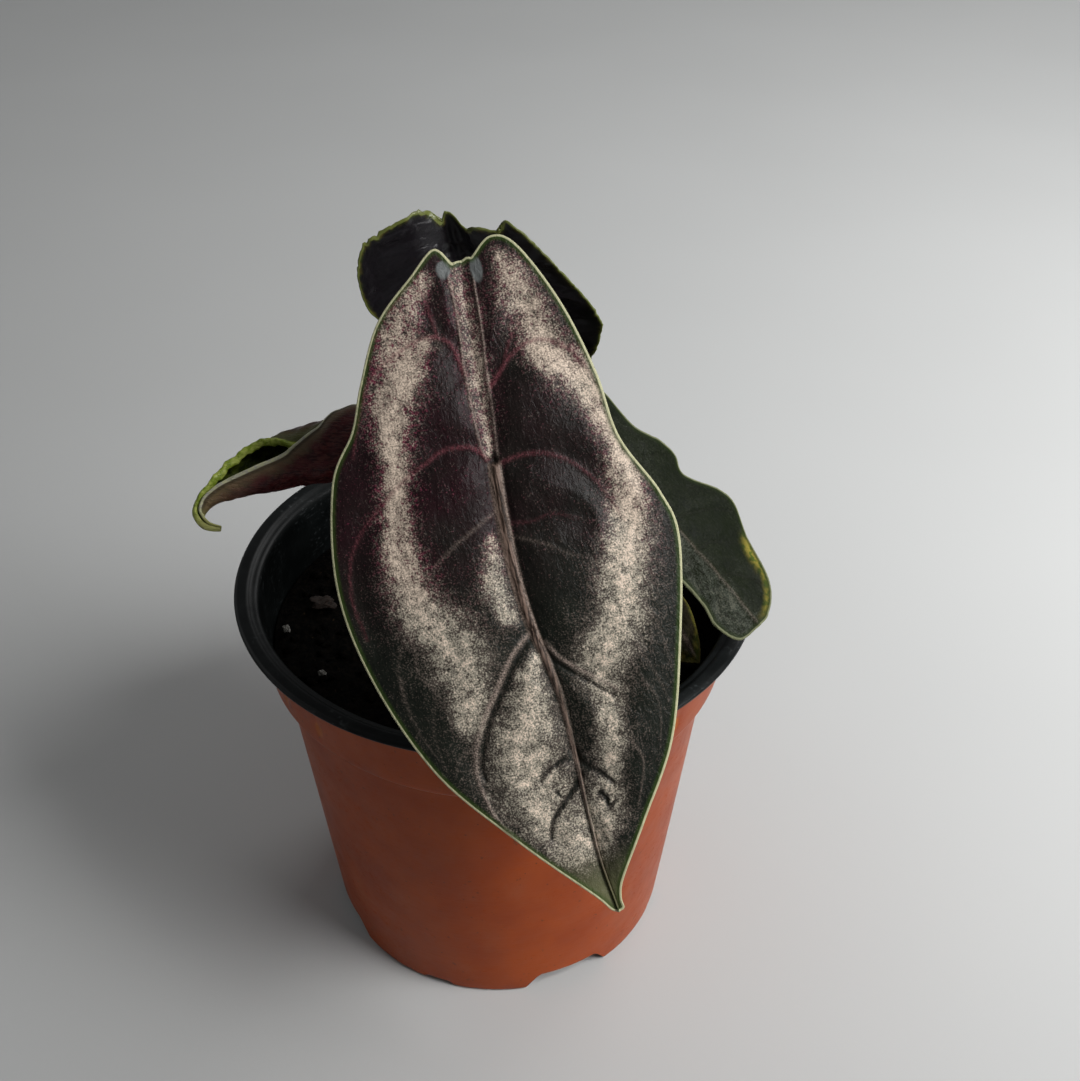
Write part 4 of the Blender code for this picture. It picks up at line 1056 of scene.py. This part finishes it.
def make_pot():
    grid = pot_points(pot_profile(), pot_angles())
    pot = add_mesh("nursery_pot", grid.reshape(-1, 3), tube_quads(*grid.shape[:2]), pot_look())
    cutters = []
    for quarter in range(NOTCHES):
        cutters.append(wedge_cutter(25 + 90 * quarter, 23.0, 15.5, 5.8))
        cutters.append(wedge_cutter(90 * quarter - 19.5, 9.6, 6.5, 2.0))
    for i in range(HOLES):
        angle = 2 * math.pi * i / HOLES
        cutters.append(round_cutter(27.0 * math.cos(angle), 27.0 * math.sin(angle)))
    cut(pot, cutters)
    pot.data.set_sharp_from_angle(angle=math.radians(38))
    return pot


stands_for(make_pot(), "pot")


# ---------------------------------------------------------------- soil, crown and grains


def soil_top(x, y):
    """The height of the soil: a gentle mound, sunk at the wall, broken into crumbs."""
    r = np.hypot(x, y)
    height = 86.2 - 0.9 * smooth(r, 20, 53) - 0.5 * smooth(r, 49, 53)
    lumps = 0.55 * wobble(x, y, 6.0, 81.0) + 0.50 * wobble(x, y, 2.4, 82.0) + 0.28 * wobble(x, y, 1.1, 83.0)
    return height - 0.35 + lumps * smooth(54 - r, 0.5, 2.5)


def make_soil(look):
    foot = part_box("potting_soil")[0].z / MM
    side = [(52.6, 84.6), (52.0, 83.2), (49.4, 79.8), (42.9, 9.8), (41.0, 8.1), (13.9, 8.1), (11.0, foot), (0, foot)]
    rings = np.linspace(0, 52.4, 100)
    turns = np.linspace(0, 2 * math.pi, 400, endpoint=False)
    x, y = rings[:, None] * np.cos(turns), rings[:, None] * np.sin(turns)
    layers = [np.stack([x, y, soil_top(x, y)], -1)]
    for radius, z in side:
        layers.append(np.stack([radius * np.cos(turns), radius * np.sin(turns), turns * 0 + z], -1)[None])
    grid = np.vstack(layers)
    return add_mesh("soil", grid.reshape(-1, 3), tube_quads(*grid.shape[:2]), look)


def soil_look():
    look = Look("potting_soil")
    crumbs, fibres = look.noise(1.1, detail=5.0), look.noise(0.6, detail=3.0, stretch=(1.0, 0.3, 1.0))
    # Near-black soil: its own dark colour darkened further as painted shade under the leaves.
    colour = look.two_tone(crumbs, 0.38, 0.70, (0.0008, 0.0007, 0.0006), (0.0045, 0.0032, 0.0022))
    colour = look.mix(look.times(look.fade(fibres, 0.68, 0.75), 0.5), colour, (0.05, 0.032, 0.018))
    return look.finish(base_color=colour, roughness=0.95, normal=look.bump(crumbs, 0.5), specular_ior_level=0.05)


def lump(centre, half_sizes, turn, seed, roughness, level):
    """Points and faces of a rough lump, in millimetres."""
    shape = bmesh.new()
    bmesh.ops.create_icosphere(shape, subdivisions=level, radius=1.0)
    points = []
    for vert in shape.verts:
        way = vert.co.normalized()
        broad = noise.noise(way * 1.4 + Vector((seed, 0, 0)))
        bump = 1 + roughness * broad + 0.5 * roughness * noise.noise(way * 3.5 + Vector((0, seed, 0)))
        x, y, z = (c * size * bump for c, size in zip(way, half_sizes))
        along, across = x * math.cos(turn) - y * math.sin(turn), x * math.sin(turn) + y * math.cos(turn)
        points.append((centre[0] + along, centre[1] + across, centre[2] + z))
    faces = [[vert.index for vert in face.verts] for face in shape.faces]
    shape.free()
    return points, faces


def lumps_object(name, lumps, look):
    """One mesh of many separate lumps."""
    points, faces = [], []
    for more, their_faces in lumps:
        faces += [[corner + len(points) for corner in face] for face in their_faces]
        points += more
    mesh = bpy.data.meshes.new(name)
    mesh.from_pydata([Vector(p) * MM for p in points], [], faces)
    mesh.shade_smooth()
    mesh.materials.append(look)
    return linked(name, mesh)


def grain_look(name, pale, dark, pits):
    look = Look(name)
    colour = look.two_tone(look.noise(0.35, detail=4.0), 0.35, 0.65, dark, pale)
    return look.finish(base_color=colour, roughness=0.85, normal=look.bump(look.noise(pits, detail=4.0), 0.22))


soil_skin = soil_look()
stands_for(make_soil(soil_skin), "potting_soil")
CRUMBS = 330
random = np.random.default_rng(7)
crumbs = []
for number in range(CRUMBS):
    reach, turn = 51.0 * math.sqrt(random.uniform(0.04, 1.0)), random.uniform(0, 2 * math.pi)
    cx, cy = reach * math.cos(turn), reach * math.sin(turn)
    size = random.uniform(0.5, 1.5)
    cz = float(soil_top(np.array([cx]), np.array([cy]))[0]) + 0.25 * size
    sizes = (size * random.uniform(0.8, 1.5), size * random.uniform(0.7, 1.1), size * random.uniform(0.6, 0.9))
    crumbs.append(lump((cx, cy, min(cz, 88.0)), sizes, random.uniform(0, 6.28), number * 1.7, 0.55, level=2))
crumb_piece = lumps_object("soil_crumbs", crumbs, soil_skin)
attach(crumb_piece, "root")

GRAIN_LOOKS = {
    "perlite": grain_look("perlite", (0.22, 0.21, 0.19), (0.09, 0.085, 0.075), 0.5),
    "bark": grain_look("bark", (0.028, 0.014, 0.008), (0.008, 0.005, 0.003), 0.9),
}
for node in sorted(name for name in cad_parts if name.startswith(("perlite_grain", "bark_chip"))):
    kind = node.split("_")[0]
    low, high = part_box(node)
    centre, half = (low + high) / 2 / MM, (high - low) / 2 / MM
    seed = float(node.split("_")[-1]) * 3.1
    half_sizes = (half.x * 0.86, half.y * 0.86, half.z * 0.82)
    grain = lump(centre, half_sizes, 0.0, seed, 0.5 if kind == "perlite" else 0.7, level=4)
    piece = lumps_object(node.replace("_grain", "_crumb").replace("_chip", "_flake"), [grain], GRAIN_LOOKS[kind])
    stands_for(piece, node)

crown = Look("rhizome")
rings = crown.noise(1.2, detail=4.0, stretch=(0.3, 0.3, 1.0))
crown_colour = crown.two_tone(rings, 0.4, 0.65, (0.035, 0.020, 0.012), (0.16, 0.10, 0.055))
crown.finish(base_color=crown_colour, roughness=0.8, normal=crown.bump(rings, 0.3))
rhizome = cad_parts["rhizome_and_roots"]
rhizome.data.materials.clear()
rhizome.data.materials.append(crown.material)


# ---------------------------------------------------------------- stage, camera and light


def add_floor():
    size = 4.0  # metres from the middle to each side
    mesh = bpy.data.meshes.new("floor")
    mesh.from_pydata([(-size, -size, 0), (size, -size, 0), (size, size, 0), (-size, size, 0)], [], [(0, 1, 2, 3)])
    look = Look("floor")
    tone = look.mix(look.noise(180.0, detail=2.0), (0.44, 0.445, 0.44), (0.48, 0.485, 0.48))
    mesh.materials.append(look.finish(base_color=tone, roughness=0.7, specular_ior_level=0.2))
    linked("floor", mesh)


def add_camera():
    data = bpy.data.cameras.new("camera")
    data.sensor_fit = "HORIZONTAL"
    data.sensor_width = 36.0
    data.lens = 45.23
    data.clip_start = 0.01
    camera = linked("camera", data)
    right = Vector((0.99996, 0.00516, 0.00698))
    up = Vector((-0.00868, 0.59464, 0.80395))
    turn = Matrix((right, up, right.cross(up))).transposed().to_4x4()
    camera.matrix_world = Matrix.Translation(Vector((10.18, -249.64, 293.82)) * MM) @ turn
    bpy.context.scene.camera = camera


def add_light(name, location, target, size, power, spread):
    data = bpy.data.lights.new(name, "AREA")
    data.shape = "RECTANGLE"
    data.size = data.size_y = size
    data.energy = power
    data.spread = math.radians(spread)
    lamp = linked(name, data)
    way = Vector(target) - Vector(location)
    lamp.matrix_world = Matrix.Translation(Vector(location)) @ way.to_track_quat("-Z", "Y").to_matrix().to_4x4()


def add_world():
    world = bpy.data.worlds.new("studio")
    world.use_nodes = True
    world.node_tree.nodes["Background"].inputs["Color"].default_value = (0.96, 0.98, 1.0, 1.0)
    world.node_tree.nodes["Background"].inputs["Strength"].default_value = 0.15
    bpy.context.scene.world = world


add_floor()
add_camera()
add_world()
add_light("key", (0.80, -0.32, 0.80), (0.54, 0.14, 0.0), 0.6, 7.9, spread=92.0)
add_light("far", (1.10, 1.60, 1.30), (0.65, 0.95, 0.0), 1.2, 8.4, spread=150.0)
add_light("left", (-1.20, 0.90, 1.10), (-0.2, 0.4, 0.1), 1.0, 0.9, spread=120.0)
bpy.context.scene.view_settings.view_transform = "Standard"
